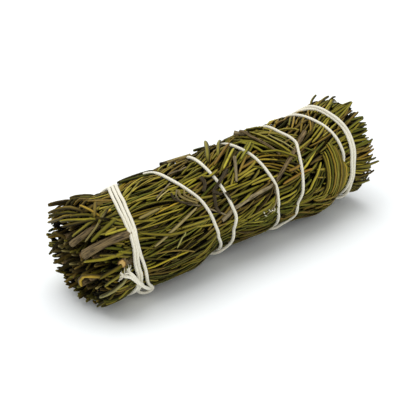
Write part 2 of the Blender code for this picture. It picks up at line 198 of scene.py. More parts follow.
class FinishNodes:
    """A material being made. Each method adds a step to it and gives the step's output."""

    def __init__(self, name: str) -> None:
        """Start with only a Principled BSDF and the material's output."""
        self.material = bpy.data.materials.new(name)
        self.material.use_nodes = True
        self.tree = self.material.node_tree
        self.tree.nodes.clear()
        self.shader = add_node(self.tree, "BsdfPrincipled")
        add_node(self.tree, "OutputMaterial", {"Surface": self.shader.outputs["BSDF"]})

    def place(self) -> Socket:
        """Give the place on the object, in metres."""
        return add_node(self.tree, "TexCoord").outputs["Object"]

    def attribute(self, name: str) -> bpy.types.Node:
        """Read an attribute of the mesh."""
        return add_node(self.tree, "Attribute", {"attribute_name": name})

    def leaf(self) -> bpy.types.NodeOutputs:
        """Give the three numbers of the attribute leaf, as X, Y and Z."""
        vector = self.attribute("leaf").outputs["Vector"]
        return add_node(self.tree, "SeparateXYZ", {0: vector}).outputs

    def noise(self, place: Socket, size_mm: float, detail: float = 2.0) -> Socket:
        """Add noise with grains of a size in millimetres."""
        settings = {"Scale": 1.0 / (size_mm * MM), "Detail": detail, "Vector": place}
        return add_node(self.tree, "TexNoise", settings).outputs["Fac"]

    def remap(self, value: Socket, to_low: float, to_high: float,
              low: float = 0.0, high: float = 1.0) -> Socket:
        """Map the stretch from low to high onto the one from to_low to to_high."""
        settings = {"From Min": low, "From Max": high, "To Min": to_low, "To Max": to_high}
        return add_node(self.tree, "MapRange", {**settings, "Value": value}).outputs["Result"]

    def ramp(self, value: Socket, *stops: tuple) -> Socket:
        """Turn a value into a colour by a ramp of (position, hex colour) stops."""
        return add_node(self.tree, "ValToRGB", {"Fac": value}, stops).outputs["Color"]

    def mix(self, share: Socket | float, first: Socket | tuple,
            second: Socket | tuple, blend: str = "MIX") -> Socket:
        """Mix two colours by the share of the second."""
        settings = {"data_type": "RGBA", "blend_type": blend, 0: share, 6: first, 7: second}
        return add_node(self.tree, "Mix", settings).outputs[2]

    def scale(self, colour: Socket, factor: Socket) -> Socket:
        """Multiply a colour by a factor."""
        settings = {"operation": "SCALE", 0: colour, "Scale": factor}
        return add_node(self.tree, "VectorMath", settings).outputs["Vector"]

    def bump(self, height: Socket, strength: float, depth_mm: float) -> None:
        """Raise the finish by a height, as deep as given in millimetres."""
        settings = {"Strength": strength, "Distance": depth_mm * MM, "Height": height}
        self.set({"Normal": add_node(self.tree, "Bump", settings).outputs["Normal"]})

    def set(self, inputs: dict) -> Material:
        """Set or link inputs of the Principled BSDF by name, and give the material."""
        for name, value in inputs.items():
            if isinstance(value, Socket):
                self.tree.links.new(value, self.shader.inputs[name])
            else:
                self.shader.inputs[name].default_value = value
        return self.material


class Tone(Enum):
    """The colours that dried rosemary needles take."""

    DEEP_GREEN = "#5f5f17"
    OLIVE = "#7b7218"
    YELLOW_OLIVE = "#948829"
    OCHRE = "#92791f"
    ORANGE = "#8e7027"
    BROWN = "#6c5a1f"
    DUSK = "#4b4115"
    PALE = "#9a9154"
    TAN = "#8a7d46"
    FLORET = "#cfc9b0"


# How often each tone comes up where no bunch decides it
MIXED = (Tone.OLIVE, Tone.OLIVE, Tone.OLIVE, Tone.YELLOW_OLIVE, Tone.YELLOW_OLIVE, Tone.DEEP_GREEN,
         Tone.DEEP_GREEN, Tone.OCHRE, Tone.BROWN, Tone.DUSK)


@dataclass(frozen=True)
class DriedNeedleFinish:
    """Dried rosemary leaf, air-dried on the stem.

    The eye sees a matt olive leaf with painted shade towards its edges, where it meets its
    neighbours, painted shade on its underside, brown blotches where it dried first, and a weak
    sheen on the lighter needles.
    """

    blotch_mm: float = 2.2
    grain_mm: float = 0.35
    roughness: float = 0.48
    dry_roughness: float = 0.95
    bump_mm: float = 0.05

    def build(self) -> Material:
        """Make the material, which takes each needle's colour and painted shade from the attribute
        tint.
        """
        nodes = FinishNodes("dried_rosemary_needle")
        place = nodes.place()
        tint = nodes.attribute("tint")
        colour = tint.outputs["Color"]
        leaf = nodes.leaf()
        grain = nodes.noise(place, self.grain_mm)
        brown = nodes.remap(nodes.noise(place, self.blotch_mm, 3.0), 0.0, 0.4, 0.54, 0.74)
        dried = nodes.mix(brown, colour, linear("#6a5120"))
        # Painted shade: each needle darkens to near black towards its edges, standing in for the shade
        # between neighbouring needles; over its last tenth it turns part of the way back to its plain
        # colour.
        margin_shade = nodes.ramp(leaf["Y"], (0.0, "#ffffff"), (0.45, "#e8e8e8"), (0.7, "#a4a4a4"),
                             (1.0, "#303030"))
        # The painted edge shade, roughened by the grain.
        depth = add_node(nodes.tree, "Math", {"operation": "MULTIPLY", 0: margin_shade,
                                              1: nodes.remap(grain, 0.78, 1.22)})
        upper = nodes.scale(dried, depth.outputs["Value"])
        pale = nodes.mix(nodes.remap(leaf["X"], 0.0, 0.45, 0.9, 1.0), upper, colour)
        # Painted shade on the underside: the colour there is multiplied by #b2ad90, which darkens it.
        underside_shaded = nodes.mix(leaf["Z"], pale, nodes.mix(1.0, colour, linear("#b2ad90"), "MULTIPLY"))
        rough = nodes.remap(tint.outputs["Fac"], self.dry_roughness, self.roughness, 0.02, 0.16)
        nodes.bump(grain, 0.6, self.bump_mm)
        return nodes.set({"Base Color": underside_shaded, "Roughness": rough, "Specular IOR Level": 0.16})


@dataclass(frozen=True)
class PressedNeedleFinish:
    """Needles pressed and crumbled deep inside the bundle: dark brown deepened by painted shade,
    without any sheen.
    """

    crumb_mm: float = 0.9

    def build(self) -> Material:
        """Make the material: dark brown crumbs, near black with painted shade, at the scale of broken
        needles.
        """
        nodes = FinishNodes("shaded_inner_needles")
        crumbs = nodes.noise(nodes.place(), self.crumb_mm, 4.0)
        nodes.bump(crumbs, 1.0, 0.4)
        # Painted shade: the crumbs are near black, as deep in the bundle they lie in shade.
        return nodes.set({"Base Color": nodes.ramp(crumbs, (0.35, "#0d0b07"), (0.7, "#2a2313")),
                          "Roughness": 0.95, "Specular IOR Level": 0.1})


class Bark(Enum):
    """The barks on the bundle: a material name, and the colours of its ridges and its furrows."""

    WOODY = ("rosemary_bark", "#84704a", "#30271a")
    GREY = ("weathered_rosemary_bark", "#9c8d6a", "#4e4430")
    DARK = ("blackened_rosemary_bark", "#4e422b", "#1e180d")
    STRAW = ("peeled_rosemary_twig", "#a3925a", "#5a4c26")


@dataclass(frozen=True)
class BarkFinish:
    """Dry rosemary bark: grey-brown, split lengthwise into thin strips, quite matt."""

    bark: Bark
    strip_mm: float = 0.6

    def build(self) -> Material:
        """Make the material; the strips run along the UV map grain, which is in millimetres."""
        name, ridge, furrow = self.bark.value
        nodes = FinishNodes(name)
        lie = add_node(nodes.tree, "UVMap", {"uv_map": "grain"}).outputs["UV"]
        stretch = add_node(nodes.tree, "Mapping", {"Scale": (0.12, 1.0, 1.0), "Vector": lie})
        strips = add_node(nodes.tree, "TexNoise",
                          {"Scale": 1.0 / self.strip_mm, "Detail": 4.0, "Roughness": 0.6,
                           "Vector": stretch.outputs["Vector"]}).outputs["Fac"]
        spots = add_node(nodes.tree, "TexNoise", {"Scale": 0.7, "Detail": 2.0, "Vector": lie})
        colour = nodes.scale(nodes.ramp(strips, (0.38, furrow), (0.6, ridge)),
                             nodes.remap(spots.outputs["Fac"], 0.65, 1.3))
        nodes.bump(strips, 0.9, 0.22)
        return nodes.set({"Base Color": colour, "Roughness": 0.85, "Specular IOR Level": 0.25})


@dataclass(frozen=True)
class CutWoodFinish:
    """Cut rosemary wood: fibrous, tan where freshly cut and brown where old, with a pale pith."""

    fibre_mm: float = 0.3

    def build(self) -> Material:
        """Make the material; leaf holds the distance from the pith in X and the freshness in Y."""
        nodes = FinishNodes("cut_rosemary_wood")
        leaf = nodes.leaf()
        fibres = nodes.noise(nodes.place(), self.fibre_mm, 3.0)
        wobble = add_node(nodes.tree, "Math", {"operation": "MULTIPLY_ADD", 0: fibres, 1: 0.35,
                                               2: leaf["X"]}).outputs["Value"]
        old = nodes.ramp(wobble, (0.15, "#8f7a4e"), (0.45, "#6d5836"), (0.8, "#4a3a24"),
                         (1.0, "#2b2116"))
        fresh = nodes.ramp(wobble, (0.2, "#d8bd7e"), (0.5, "#bd9a58"), (0.85, "#8a6c3a"),
                           (1.1, "#4b3821"))
        nodes.bump(fibres, 0.8, 0.15)
        return nodes.set({"Base Color": nodes.mix(leaf["Y"], old, fresh), "Roughness": 0.85,
                          "Specular IOR Level": 0.2})


@dataclass(frozen=True)
class CottonTwineFinish:
    """Unbleached cotton twine, three plies twisted together: cream-white, soft and matt.

    The plies themselves are modelled. The finish adds the fine fibres and the shade between the
    plies.
    """

    fibre_mm: float = 0.12
    patch_mm: float = 6.0

    def build(self) -> Material:
        """Make the material; leaf holds how deep between two plies a point lies in X."""
        nodes = FinishNodes("cotton_twine")
        place = nodes.place()
        cream = nodes.mix(nodes.noise(place, self.patch_mm), linear("#eeebdc"), linear("#e0dac4"))
        nodes.bump(nodes.noise(place, self.fibre_mm, 3.0), 0.5, 0.06)
        return nodes.set({"Base Color": nodes.mix(nodes.leaf()["X"], cream, linear("#cbc4ac")),
                          "Roughness": 0.9, "Specular IOR Level": 0.2, "Sheen Weight": 0.3})


@dataclass(frozen=True)
class PaperSweepFinish:
    """White matt paper under the object: even, with no texture that shows."""

    colour: str = "#f6f9fa"

    def build(self) -> Material:
        """Make the material."""
        return FinishNodes("white_paper").set({"Base Color": linear(self.colour), "Roughness": 0.9,
                                               "Specular IOR Level": 0.1})


@dataclass
class Surface:
    """Quads and end caps of one or more closed shapes, with what their finish reads.

    Attributes:
        points: vertices in metres, one row each.
        quads: four vertex numbers a row.
        caps: vertex numbers of the end caps, which all have the same count of corners.
        tint: linear RGBA colour at each vertex, with any painted shade in it.
        leaf: three numbers at each vertex, whose meaning each finish states.
        quad_uv: four UV places for each quad.
        cap_uv: one UV place for each corner of each cap.
        quad_slot: material slot of each quad.
        cap_slot: material slot of each cap.
    """

    points: Array
    quads: Array
    caps: Array
    tint: Array
    leaf: Array
    quad_uv: Array
    cap_uv: Array
    quad_slot: Array
    cap_slot: Array


def loft(rings: Array, tint: Array, leaf: Array,
         lengths: Array, slot: int = 0, cap_slot: int = 0) -> Surface:
    """Close a batch of tubes, each a row of rings, with a flat cap at both ends.

    Ring point j of station i joins point j + 1 and station i + 1, the last point joins the first,
    and the first and last rings are the caps.

    Args:
        rings: points in metres, as (tube, station, ring point, 3). Each ring runs so that its
            outside is on the right of the way from the first station to the last.
        tint: colour of each station of each tube, as (tube, station, 4).
        leaf: what the finish reads, as (tube, station, ring point, 3).
        lengths: distance of each station along its tube in millimetres, as (tube, station).
        slot: material slot of the sides.
        cap_slot: material slot of the caps.

    Returns:
        The surface of all tubes.
    """
    tubes, stations, corners, _ = rings.shape
    number = np.arange(tubes * stations * corners).reshape(tubes, stations, corners)
    after = np.roll(number, -1, axis=2)
    quads = np.stack((number[:, :-1], after[:, :-1], after[:, 1:], number[:, 1:]), axis=-1)
    caps = np.stack((number[:, 0, ::-1], number[:, -1]), axis=1)
    girth = np.linalg.norm(np.roll(rings, -1, axis=2) - rings, axis=3).max(axis=1) / MM
    around = np.concatenate((np.zeros((tubes, 1)), np.cumsum(girth, axis=1)), axis=1)
    sheet = np.stack(np.broadcast_arrays(lengths[:, :, None], around[:, None]), axis=-1)
    quad_uv = np.stack((sheet[:, :-1, :-1], sheet[:, :-1, 1:], sheet[:, 1:, 1:], sheet[:, 1:, :-1]),
                       axis=3)
    turn = 2.0 * np.pi * np.arange(corners) / corners
    disc = np.stack((np.cos(turn), np.sin(turn)), axis=-1)
    cap_uv = np.broadcast_to(disc, (tubes, 2, corners, 2))
    return Surface(
        points=rings.reshape(-1, 3),
        quads=quads.reshape(-1, 4),
        caps=caps.reshape(-1, corners),
        tint=np.repeat(tint.reshape(-1, 4), corners, axis=0),
        leaf=leaf.reshape(-1, 3),
        quad_uv=quad_uv.reshape(-1, 4, 2),
        cap_uv=cap_uv.reshape(-1, corners, 2).copy(),
        quad_slot=np.full(tubes * (stations - 1) * corners, slot),
        cap_slot=np.full(tubes * 2, cap_slot),
    )


def make_piece(name: str, surfaces: list[Surface], materials: list[Material],
               replaced: tuple[str, ...] = ()) -> None:
    """Write surfaces into one mesh object and tell the frame what it stands for.

    Args:
        name: the piece's name.
        surfaces: the closed shapes that it is made of.
        materials: its materials, in slot order.
        replaced: the CAD nodes that it stands for.
    """
    shift = np.cumsum([0] + [len(s.points) for s in surfaces[:-1]])
    corners = [(s.quads + d).ravel() for s, d in zip(surfaces, shift)]
    corners += [(s.caps + d).ravel() for s, d in zip(surfaces, shift)]
    sizes = [np.full(len(s.quads), 4) for s in surfaces]
    sizes += [np.full(len(s.caps), s.caps.shape[1]) for s in surfaces]
    slots = [s.quad_slot for s in surfaces] + [s.cap_slot for s in surfaces]
    maps = [s.quad_uv.ravel() for s in surfaces] + [s.cap_uv.ravel() for s in surfaces]
    corners, sizes = np.concatenate(corners), np.concatenate(sizes)
    points = np.concatenate([s.points for s in surfaces])
    mesh = bpy.data.meshes.new(name)
    mesh.vertices.add(len(points))
    mesh.vertices.foreach_set("co", points.astype(np.float32).ravel())
    mesh.loops.add(len(corners))
    mesh.loops.foreach_set("vertex_index", corners.astype(np.int32))
    mesh.polygons.add(len(sizes))
    starts = np.concatenate(([0], np.cumsum(sizes)[:-1])).astype(np.int32)
    mesh.polygons.foreach_set("loop_start", starts)
    mesh.polygons.foreach_set("material_index", np.concatenate(slots).astype(np.int32))
    mesh.update(calc_edges=True)
    mesh.polygons.foreach_set("use_smooth", sizes == 4)
    layer = mesh.uv_layers.new(name="grain")
    layer.uv.foreach_set("vector", np.concatenate(maps).astype(np.float32))
    for label, kind, key in (("tint", "FLOAT_COLOR", "color"), ("leaf", "FLOAT_VECTOR", "vector")):
        values = np.concatenate([getattr(s, label) for s in surfaces])
        attribute = mesh.attributes.new(label, kind, "POINT")
        attribute.data.foreach_set(key, values.astype(np.float32).ravel())
    mesh.validate()
    for material in materials:
        mesh.materials.append(material)
    piece = bpy.data.objects.new(name, mesh)
    bpy.context.scene.collection.objects.link(piece)
    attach(piece, "root")
    if replaced:
        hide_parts(*replaced)


def along_lines(lines: Array) -> tuple[Array, Array]:
    """Work out directions and distances along a batch of lines.

    Args:
        lines: points as (line, station, 3).

    Returns:
        Unit tangents of the same shape, and the distance of each station from its line's start.
    """
    tangents = np.gradient(lines, axis=1)
    tangents /= np.linalg.norm(tangents, axis=2, keepdims=True)
    steps = np.linalg.norm(np.diff(lines, axis=1), axis=2)
    reached = np.concatenate((np.zeros((len(lines), 1)), np.cumsum(steps, axis=1)), axis=1)
    return tangents, reached


def ringed(lines: Array, size: Array, ups: Array, across: Array) -> Array:
    """Set a ring round each station of lines.

    Args:
        lines: points in metres, as (..., station, 3).
        size: distance of each ring point from the line, as (..., station, ring point).
        ups: unit directions square to the lines, where the rings start.
        across: unit directions square to both.

    Returns:
        The ring points, as (..., station, ring point, 3).
    """
    phi = 2.0 * np.pi * np.arange(size.shape[-1])[:, None] / size.shape[-1]
    way = np.cos(phi) * ups[..., None, :] + np.sin(phi) * across[..., None, :]
    return lines[..., None, :] + size[..., None] * way


def squared(ups: Array, tangents: Array) -> Array:
    """Turn directions square to unit tangents, and make them unit directions."""
    ups = ups - tangents * np.sum(ups * tangents, axis=-1, keepdims=True)
    return ups / np.linalg.norm(ups, axis=-1, keepdims=True)


def lifted(radius: Array, lifts: tuple[float, float]) -> Array:
    """Lift the two ends of something laid on the coat, by the cube of the way to each end."""
    share = np.linspace(0.0, 1.0, len(radius))
    return radius + lifts[0] * (1.0 - share) ** 3 + lifts[1] * share ** 3


def evened_out(values: Array) -> Array:
    """Even out a row of values over its neighbours, three on either side."""
    kernel = np.array((1.0, 4.0, 7.0, 8.0, 7.0, 4.0, 1.0)) / 32.0
    return np.convolve(np.pad(values, 3, mode="edge"), kernel, mode="valid")


def ease(value: Array) -> Array:
    """Rise from 0 to 1 as the value goes from 0 to 1, level at both ends: v * v * (3 - 2 v)."""
    share = np.clip(value, 0.0, 1.0)
    return share * share * (3.0 - 2.0 * share)


def smooth_line(points: Array, count: int, passes: int = 12) -> Array:
    """Run an eased line past points.

    The straight line from point to point is sampled evenly, and each sample but the ends is moved
    half way to the middle of its neighbours, many times over.

    Args:
        points: the places to pass by, one row each.
        count: samples in the line.
        passes: how many times it is eased.

    Returns:
        The line's samples, one row each.
    """
    reach = np.concatenate(([0.0], np.cumsum(np.linalg.norm(np.diff(points, axis=0), axis=1))))
    wanted = np.linspace(0.0, reach[-1], count)
    line = np.column_stack([np.interp(wanted, reach, column) for column in points.T])
    for _ in range(passes):
        line[1:-1] = 0.5 * line[1:-1] + 0.25 * (line[:-2] + line[2:])
    return line


@dataclass(frozen=True)
class BundleAxis:
    """The line that every place on the bundle is measured from.

    It is straight but for its ends, which bend up: the tips stand clear of the floor, and the butt
    end a little. Low down on the near side, the bundle's middle is pressed in.
    """

    x: float
    y: float
    height: float
    tip_rise: float = 2.1
    butt_rise: float = 0.9
    waist_depth: float = 2.3
    waist_start: float = -20.0
    waist_end: float = 40.0
    waist_angle: float = 130.0
    waist_reach: float = 50.0

    def slimness(self, angle: Array, x: Array) -> Array:
        """Give the share of the radius that is left where the bundle is pressed in."""
        along = ease((x - self.waist_start) / 9.0) * ease((self.waist_end - x) / 14.0)
        aside = np.abs((angle - self.waist_angle + 180.0) % FULL_TURN - 180.0)
        around = ease((self.waist_reach - aside) / 25.0)
        return 1.0 - self.waist_depth / STRING_PATH_RADIUS * along * around

    def rise(self, x: Array) -> Array:
        """Give how far the axis has bent up at a distance along it."""
        return self.tip_rise * ease((x - 33.0) / 13.0) + self.butt_rise * ease((-45.0 - x) / 9.0)

    def place(self, angle: Array, x: Array, radius: Array) -> Array:
        """Turn places on the bundle into points.

        A point is x along the axis, and the radius away from it in the direction of the turn
        angle, which starts straight up and turns towards -Y.

        Returns:
            Points in metres, with one more axis of three than the arguments.
        """
        turn = np.radians(angle)
        rise = self.rise(x)
        radius = radius * self.slimness(angle, x)
        spot = (x + self.x + 0.0 * turn, self.y - radius * np.sin(turn) + 0.3 * rise,
                self.height + radius * np.cos(turn) + 0.95 * rise)
        return np.stack(spot, axis=-1) * MM

    def outward(self, points: Array) -> Array:
        """Give the unit direction away from the axis at points in metres."""
        rise = self.rise(points[..., :1] / MM - self.x)
        away = points - (np.array((0.0, self.y, self.height)) + rise * (0.0, 0.3, 0.95)) * MM
        away[..., 0] = 0.0
        return away / np.maximum(np.linalg.norm(away, axis=-1, keepdims=True), 1e-9)

    def pressed(self, angle: Array, radius: Array, height: float) -> Array:
        """Shorten radii near the underside so that every point stays at or above a height."""
        down = np.maximum(-np.cos(np.radians(angle)), 1e-6)
        return np.minimum(radius, (self.height - height) / down)


def string_path_radius(x: Array) -> Array:
    """Distance of the string's centre line from the axis: less at the bands, more between."""
    butt_pull = 0.6 * np.exp(-(((x + 43.5) / 7.0) ** 2))
    tip_pull = 1.0 * np.exp(-(((x - 47.0) / 7.0) ** 2))
    swell = 0.3 + 0.6 * np.exp(-(((x - 24.0) / 9.0) ** 2))
    return STRING_PATH_RADIUS + swell - butt_pull - tip_pull


@dataclass
class CottonString:
    """The one string that ties the bundle, with its knot and its two frayed cut ends."""

    axis: BundleAxis
    diameter: float = STRING_DIAMETER
    step: float = 0.35
    sides: int = 18
    plies: int = 3
    ply_pitch: float = 3.4
    ply_relief: float = 0.075
    floor_clearance: float = 0.03
    settled: float = 0.6
    route: Array = field(init=False)

    def __post_init__(self) -> None:
        """Work the route out once."""
        self.route = self.smooth_route()

    def smooth_route(self) -> Array:
        """Pass a centripetal Catmull-Rom curve through ROUTE, moved along the axis by settled.

        Between two keys the curve is their straight line, eased by a cubic and bent by the slopes
        at both keys. It is worked out on the unrolled bundle, as arc, x and lift.

        Returns:
            One row for each sample: turn angle in degrees, x and distance from the axis.
        """
        keys = np.array([(FULL_TURN * turn + angle, x, lift) for turn, angle, x, lift in ROUTE])
        keys[:, 1] += self.settled
        flat = np.column_stack((np.radians(keys[:, 0]) * STRING_PATH_RADIUS, keys[:, 1:]))
        reach = np.linalg.norm(np.diff(flat, axis=0), axis=1)
        spans = np.sqrt(reach)
        slopes = np.gradient(flat, np.concatenate(([0.0], np.cumsum(spans))), axis=0)
        counts = np.maximum(1, np.round(reach / self.step)).astype(int)
        index = np.repeat(np.arange(len(spans)), counts)
        share = np.concatenate([np.arange(count) / count for count in counts])[:, None]
        rise = ease(share)
        lead = spans[index, None] * share * (1.0 - share) ** 2 * slopes[index]
        trail = spans[index, None] * share ** 2 * (1.0 - share) * slopes[index + 1]
        samples = flat[index] + rise * (flat[index + 1] - flat[index]) + lead - trail
        samples = np.vstack((samples, flat[-1]))
        angle = np.degrees(samples[:, 0] / STRING_PATH_RADIUS)
        radius = string_path_radius(samples[:, 1]) + np.maximum(samples[:, 2], -1.6)
        lowest = 0.5 * self.diameter + self.floor_clearance
        return np.column_stack((angle, samples[:, 1], self.axis.pressed(angle, radius, lowest)))

    def centre_line(self) -> Array:
        """Give the string's centre line as points in metres, eased over a few samples."""
        line = self.axis.place(self.route[:, 0], self.route[:, 1], self.route[:, 2])
        for _ in range(3):
            line[1:-1] = 0.25 * line[:-2] + 0.5 * line[1:-1] + 0.25 * line[2:]
        return line

    def twisted(self, lines: Array, radius: float, lobes: int, pitch: float,
                relief: float, sides: int, taper: Array) -> Surface:
        """Carry a lobed ring along lines, turning it so that its lobes are twisted plies.

        The ring's radius is radius * (1 - relief + relief * |cos(lobes / 2 * (phi - turn))|), with
        phi the angle round the ring and turn growing by a full turn each pitch.

        Args:
            lines: centre lines in metres, as (line, station, 3).
            radius: the ring's outer radius in millimetres.
            lobes: how many plies show.
            pitch: millimetres for one full turn of the plies.
            relief: depth of the furrows between the plies, as a share of the radius.
            sides: points in a ring.
            taper: factor on the radius at each station.

        Returns:
            The closed surface.
        """
        tangents, reached = along_lines(lines)
        outward = squared(self.axis.outward(lines), tangents)
        across = np.cross(tangents, outward)
        phi = 2.0 * np.pi * np.arange(sides) / sides
        turn = 2.0 * np.pi * reached / (pitch * MM)
        lobe = np.abs(np.cos(0.5 * lobes * (phi - turn[..., None])))
        size = radius * MM * taper[None, :, None] * (1.0 - relief + relief * lobe)
        rings = ringed(lines, size, outward, across)
        furrow = np.clip(1.0 - lobe / 0.45, 0.0, 1.0)
        leaf = np.stack((furrow, 0 * furrow, 0 * furrow), axis=-1)
        tint = np.tile(linear("#efe9da"), (*lines.shape[:2], 1))
        return loft(rings, tint, leaf, reached / MM)

    def frayed_end(self, line: Array, rng: np.random.Generator) -> list[Surface]:
        """Open a cut end into its plies and some loose fibres.

        Args:
            line: the last stretch of the centre line, running out to the cut.
            rng: where the spread of the plies comes from.

        Returns:
            The plies and the fibres.
        """
        way = line[-1] - line[0]
        way /= np.linalg.norm(way)
        up = self.axis.outward(line[-1])
        side = np.cross(way, up)
        share = np.linspace(0.0, 1.0, 9)[:, None]
        parts = []
        for count, radius, reach, fan in ((self.plies, 0.35, 2.6, 0.3), (26, 0.065, 3.0, 0.62)):
            lean = rng.normal(0.0, 0.35, (count, 1, 1)) + np.linspace(-1, 1, count)[:, None, None]
            rise = rng.normal(0.25, 0.3, (count, 1, 1))
            length = reach * rng.uniform(0.7, 1.1, (count, 1, 1))
            bow = share ** 1.6 * fan * length
            lines = (line[-1] - way * 0.6 * MM
                     + (share * length * way + bow * (lean * side + rise * up)) * MM)
            taper = np.linspace(1.0, 0.55, len(share))
            parts.append(self.twisted(lines, radius, 2, 1.4, 0.1, 8 if radius > 0.1 else 4, taper))
        return parts

    def build(self, finish: Material, rng: np.random.Generator) -> None:
        """Make the string, its knot and its frayed ends as one piece."""
        line = self.centre_line()
        taper = np.ones(len(line))
        surfaces = [self.twisted(line[None], 0.5 * self.diameter, self.plies, self.ply_pitch,
                                 self.ply_relief, self.sides, taper)]
        surfaces += self.frayed_end(line[:8][::-1].copy(), rng)
        surfaces += self.frayed_end(line[-8:].copy(), rng)
        make_piece("twisted_cotton_string", surfaces, [finish], ("cotton_string",))


@dataclass
class CoatMap:
    """How far out the coat of needles reaches, on a map of turn arc and x.

    The bundle is unrolled at one radius into a sheet. Each cell of the map holds the distance of
    the highest needle there from the axis, and the most that a needle may reach.
    """

    axis: BundleAxis
    string: CottonString
    unroll_radius: float = 16.0
    rows: int = 400
    low_x: float = -66.0
    high_x: float = 64.0
    floor_radius: float = 12.3
    bulge: float = 0.2
    pinch_reach: float = 1.9
    butt_flare: float = 0.6
    tip_flare: float = 0.5
    cell: float = field(init=False)
    top: Array = field(init=False)
    cap: Array = field(init=False)
    evened: Array | None = None

    def __post_init__(self) -> None:
        """Start with the pressed inner needles, and work out the cap from the string."""
        self.cell = self.girth / self.rows
        columns = int((self.high_x - self.low_x) / self.cell) + 1
        self.top = np.full((self.rows, columns), self.floor_radius)
        arc = np.arange(self.rows) * self.cell
        x = self.low_x + np.arange(columns) * self.cell
        arc, x = np.meshgrid(arc, x, indexing="ij")
        gap, path = self.string_distance(arc, x)
        belly = 0.7 * ease((x + 6.0) / 14.0) * ease((46.0 - x) / 9.0)
        free = (string_path_radius(x) + self.bulge + belly
                + self.butt_flare * np.clip((-46.0 - x) / 8.0, 0.0, 1.0)
                + self.tip_flare * np.clip((x - 50.0) / 7.0, 0.0, 1.0))
        under = path - 0.5 * self.string.diameter - 0.38
        closeness = np.exp(-((gap / self.pinch_reach) ** 2))
        pinched = free + (np.minimum(under, free) - free) * closeness
        self.cap = self.axis.pressed(self.angle(arc), pinched, 0.62)

    @property
    def girth(self) -> float:
        """The length once round the sheet."""
        return 2.0 * np.pi * self.unroll_radius

    def arc(self, angle: Array) -> Array:
        """Turn turn angles into arcs on the sheet."""
        return np.radians(angle) * self.unroll_radius

    def angle(self, arc: Array) -> Array:
        """Turn arcs on the sheet into turn angles."""
        return np.degrees(arc / self.unroll_radius)

    def between(self, arc: Array, other: Array) -> Array:
        """Give the signed distance to arc from other, by the shorter way round."""
        return (arc - other + 0.5 * self.girth) % self.girth - 0.5 * self.girth

    def unrolled(self, places: tuple) -> Array:
        """Turn places that start with x and a turn angle into x and an arc, and keep the rest."""
        keys = np.array(places, float)
        keys[:, 1] = self.arc(keys[:, 1])
        return keys

    def string_distance(self, arc: Array, x: Array) -> tuple[Array, Array]:
        """Find how far each cell is from the string, on the unrolled sheet, and its path there.

        Only the string's lowest layer counts. A coarse map of every fourth cell each way is filled
        by comparing it with every third sample of the string, and read between its cells.

        Returns:
            The distance in millimetres and the string's distance from the axis, at each cell.
        """
        route = self.string.route[::3]
        lying = np.abs(route[:, 2] - string_path_radius(route[:, 1])) < 1.0
        route = route[lying]
        coarse = 4
        rows, columns = arc[::coarse, ::coarse].shape
        spots = np.stack((arc[::coarse, ::coarse], x[::coarse, ::coarse]), axis=-1).reshape(-1, 1, 2)
        turned = self.arc(route[:, 0])
        best = np.full(rows * columns, 1e9)
        path = np.zeros(rows * columns)
        for start in range(0, len(route), 200):
            part = slice(start, start + 200)
            off = self.between(turned[part], spots[..., 0])
            far = np.hypot(off, route[part, 1] - spots[..., 1])
            nearest = far.argmin(axis=1)
            gap = far[np.arange(len(far)), nearest]
            closer = gap < best
            best[closer] = gap[closer]
            path[closer] = route[part, 2][nearest[closer]]
        fine_rows = np.minimum(np.arange(self.rows) / coarse, rows - 1)
        fine_columns = np.minimum(np.arange(arc.shape[1]) / coarse, columns - 1)
        maps = []
        for coarse_map in (best.reshape(rows, columns), path.reshape(rows, columns)):
            tall = np.vstack((coarse_map, coarse_map[:1]))
            low = np.floor(fine_rows).astype(int)
            share = (fine_rows - low)[:, None]
            wide = tall[low] * (1.0 - share) + tall[low + 1] * share
            left = np.floor(fine_columns).astype(int)
            right = np.minimum(left + 1, columns - 1)
            share = (fine_columns - left)[None]
            maps.append(wide[:, left] * (1.0 - share) + wide[:, right] * share)
        return maps[0], maps[1]

    def cells(self, arc: Array, x: Array) -> tuple[Array, Array]:
        """Give the map rows and columns of places on the unrolled sheet."""
        row = np.round(arc / self.cell).astype(int) % self.rows
        column = np.clip(np.round((x - self.low_x) / self.cell).astype(int), 0,
                         self.top.shape[1] - 1)
        return row, column

    def room(self, arc: Array, x: Array) -> Array:
        """Give how much the coat may still grow at places on the sheet."""
        spot = self.cells(arc, x)
        return self.cap[spot] - self.top[spot]

    def hold_down(self, places: tuple, reach: float, drop: float) -> None:
        """Keep the coat low beside a line, so that what is placed there later shows.

        The cap drops by the given amount on the line, and less away from it: by exp(-(d / reach)^2)
        of it at a distance d.

        Args:
            places: the line's corners as (x, turn angle).
            reach: how far the drop reaches, in millimetres.
            drop: how far the cap drops on the line, in millimetres.
        """
        line = smooth_line(self.unrolled(places), 24, 0)
        arc = np.arange(self.rows)[:, None] * self.cell
        x = self.low_x + np.arange(self.top.shape[1])[None] * self.cell
        gap = np.full(self.top.shape, 1e9)
        for spot in line:
            gap = np.minimum(gap, np.hypot(self.between(arc, spot[1]), x - spot[0]))
        self.cap -= drop * np.exp(-((gap / reach) ** 2))

    def shade(self, arc: Array, x: Array, radius: Array) -> Array:
        """Give how light it is on something on the coat: dark where its neighbours stand higher.

        The neighbourhood's height is the map evened out over a millimetre; with c the height of
        it over the thing's middle, less 0.25 mm, the light is 0.02 + 0.98 exp(-(c / 0.68) ** 1.4).
        """
        if self.evened is None:
            self.evened = self.top.copy()
            for _ in range(10):
                for axis in (0, 1):
                    self.evened = (0.5 * self.evened + 0.25 * np.roll(self.evened, 1, axis)
                                   + 0.25 * np.roll(self.evened, -1, axis))
        cover = self.evened[self.cells(arc, x)] - radius - 0.25
        return 0.02 + 0.98 * np.exp(-((np.maximum(cover, 0.0) / 0.68) ** 1.4))

    def add_string(self) -> None:
        """Raise the map along the string, so that what is laid later lies over it."""
        route = self.string.route
        arc = self.arc(route[:, 0])
        for aside in (-0.3, 0.0, 0.3):
            spot = self.cells(arc, route[:, 1] + aside)
            np.maximum.at(self.top, spot, route[:, 2] + 0.45 * self.string.diameter)

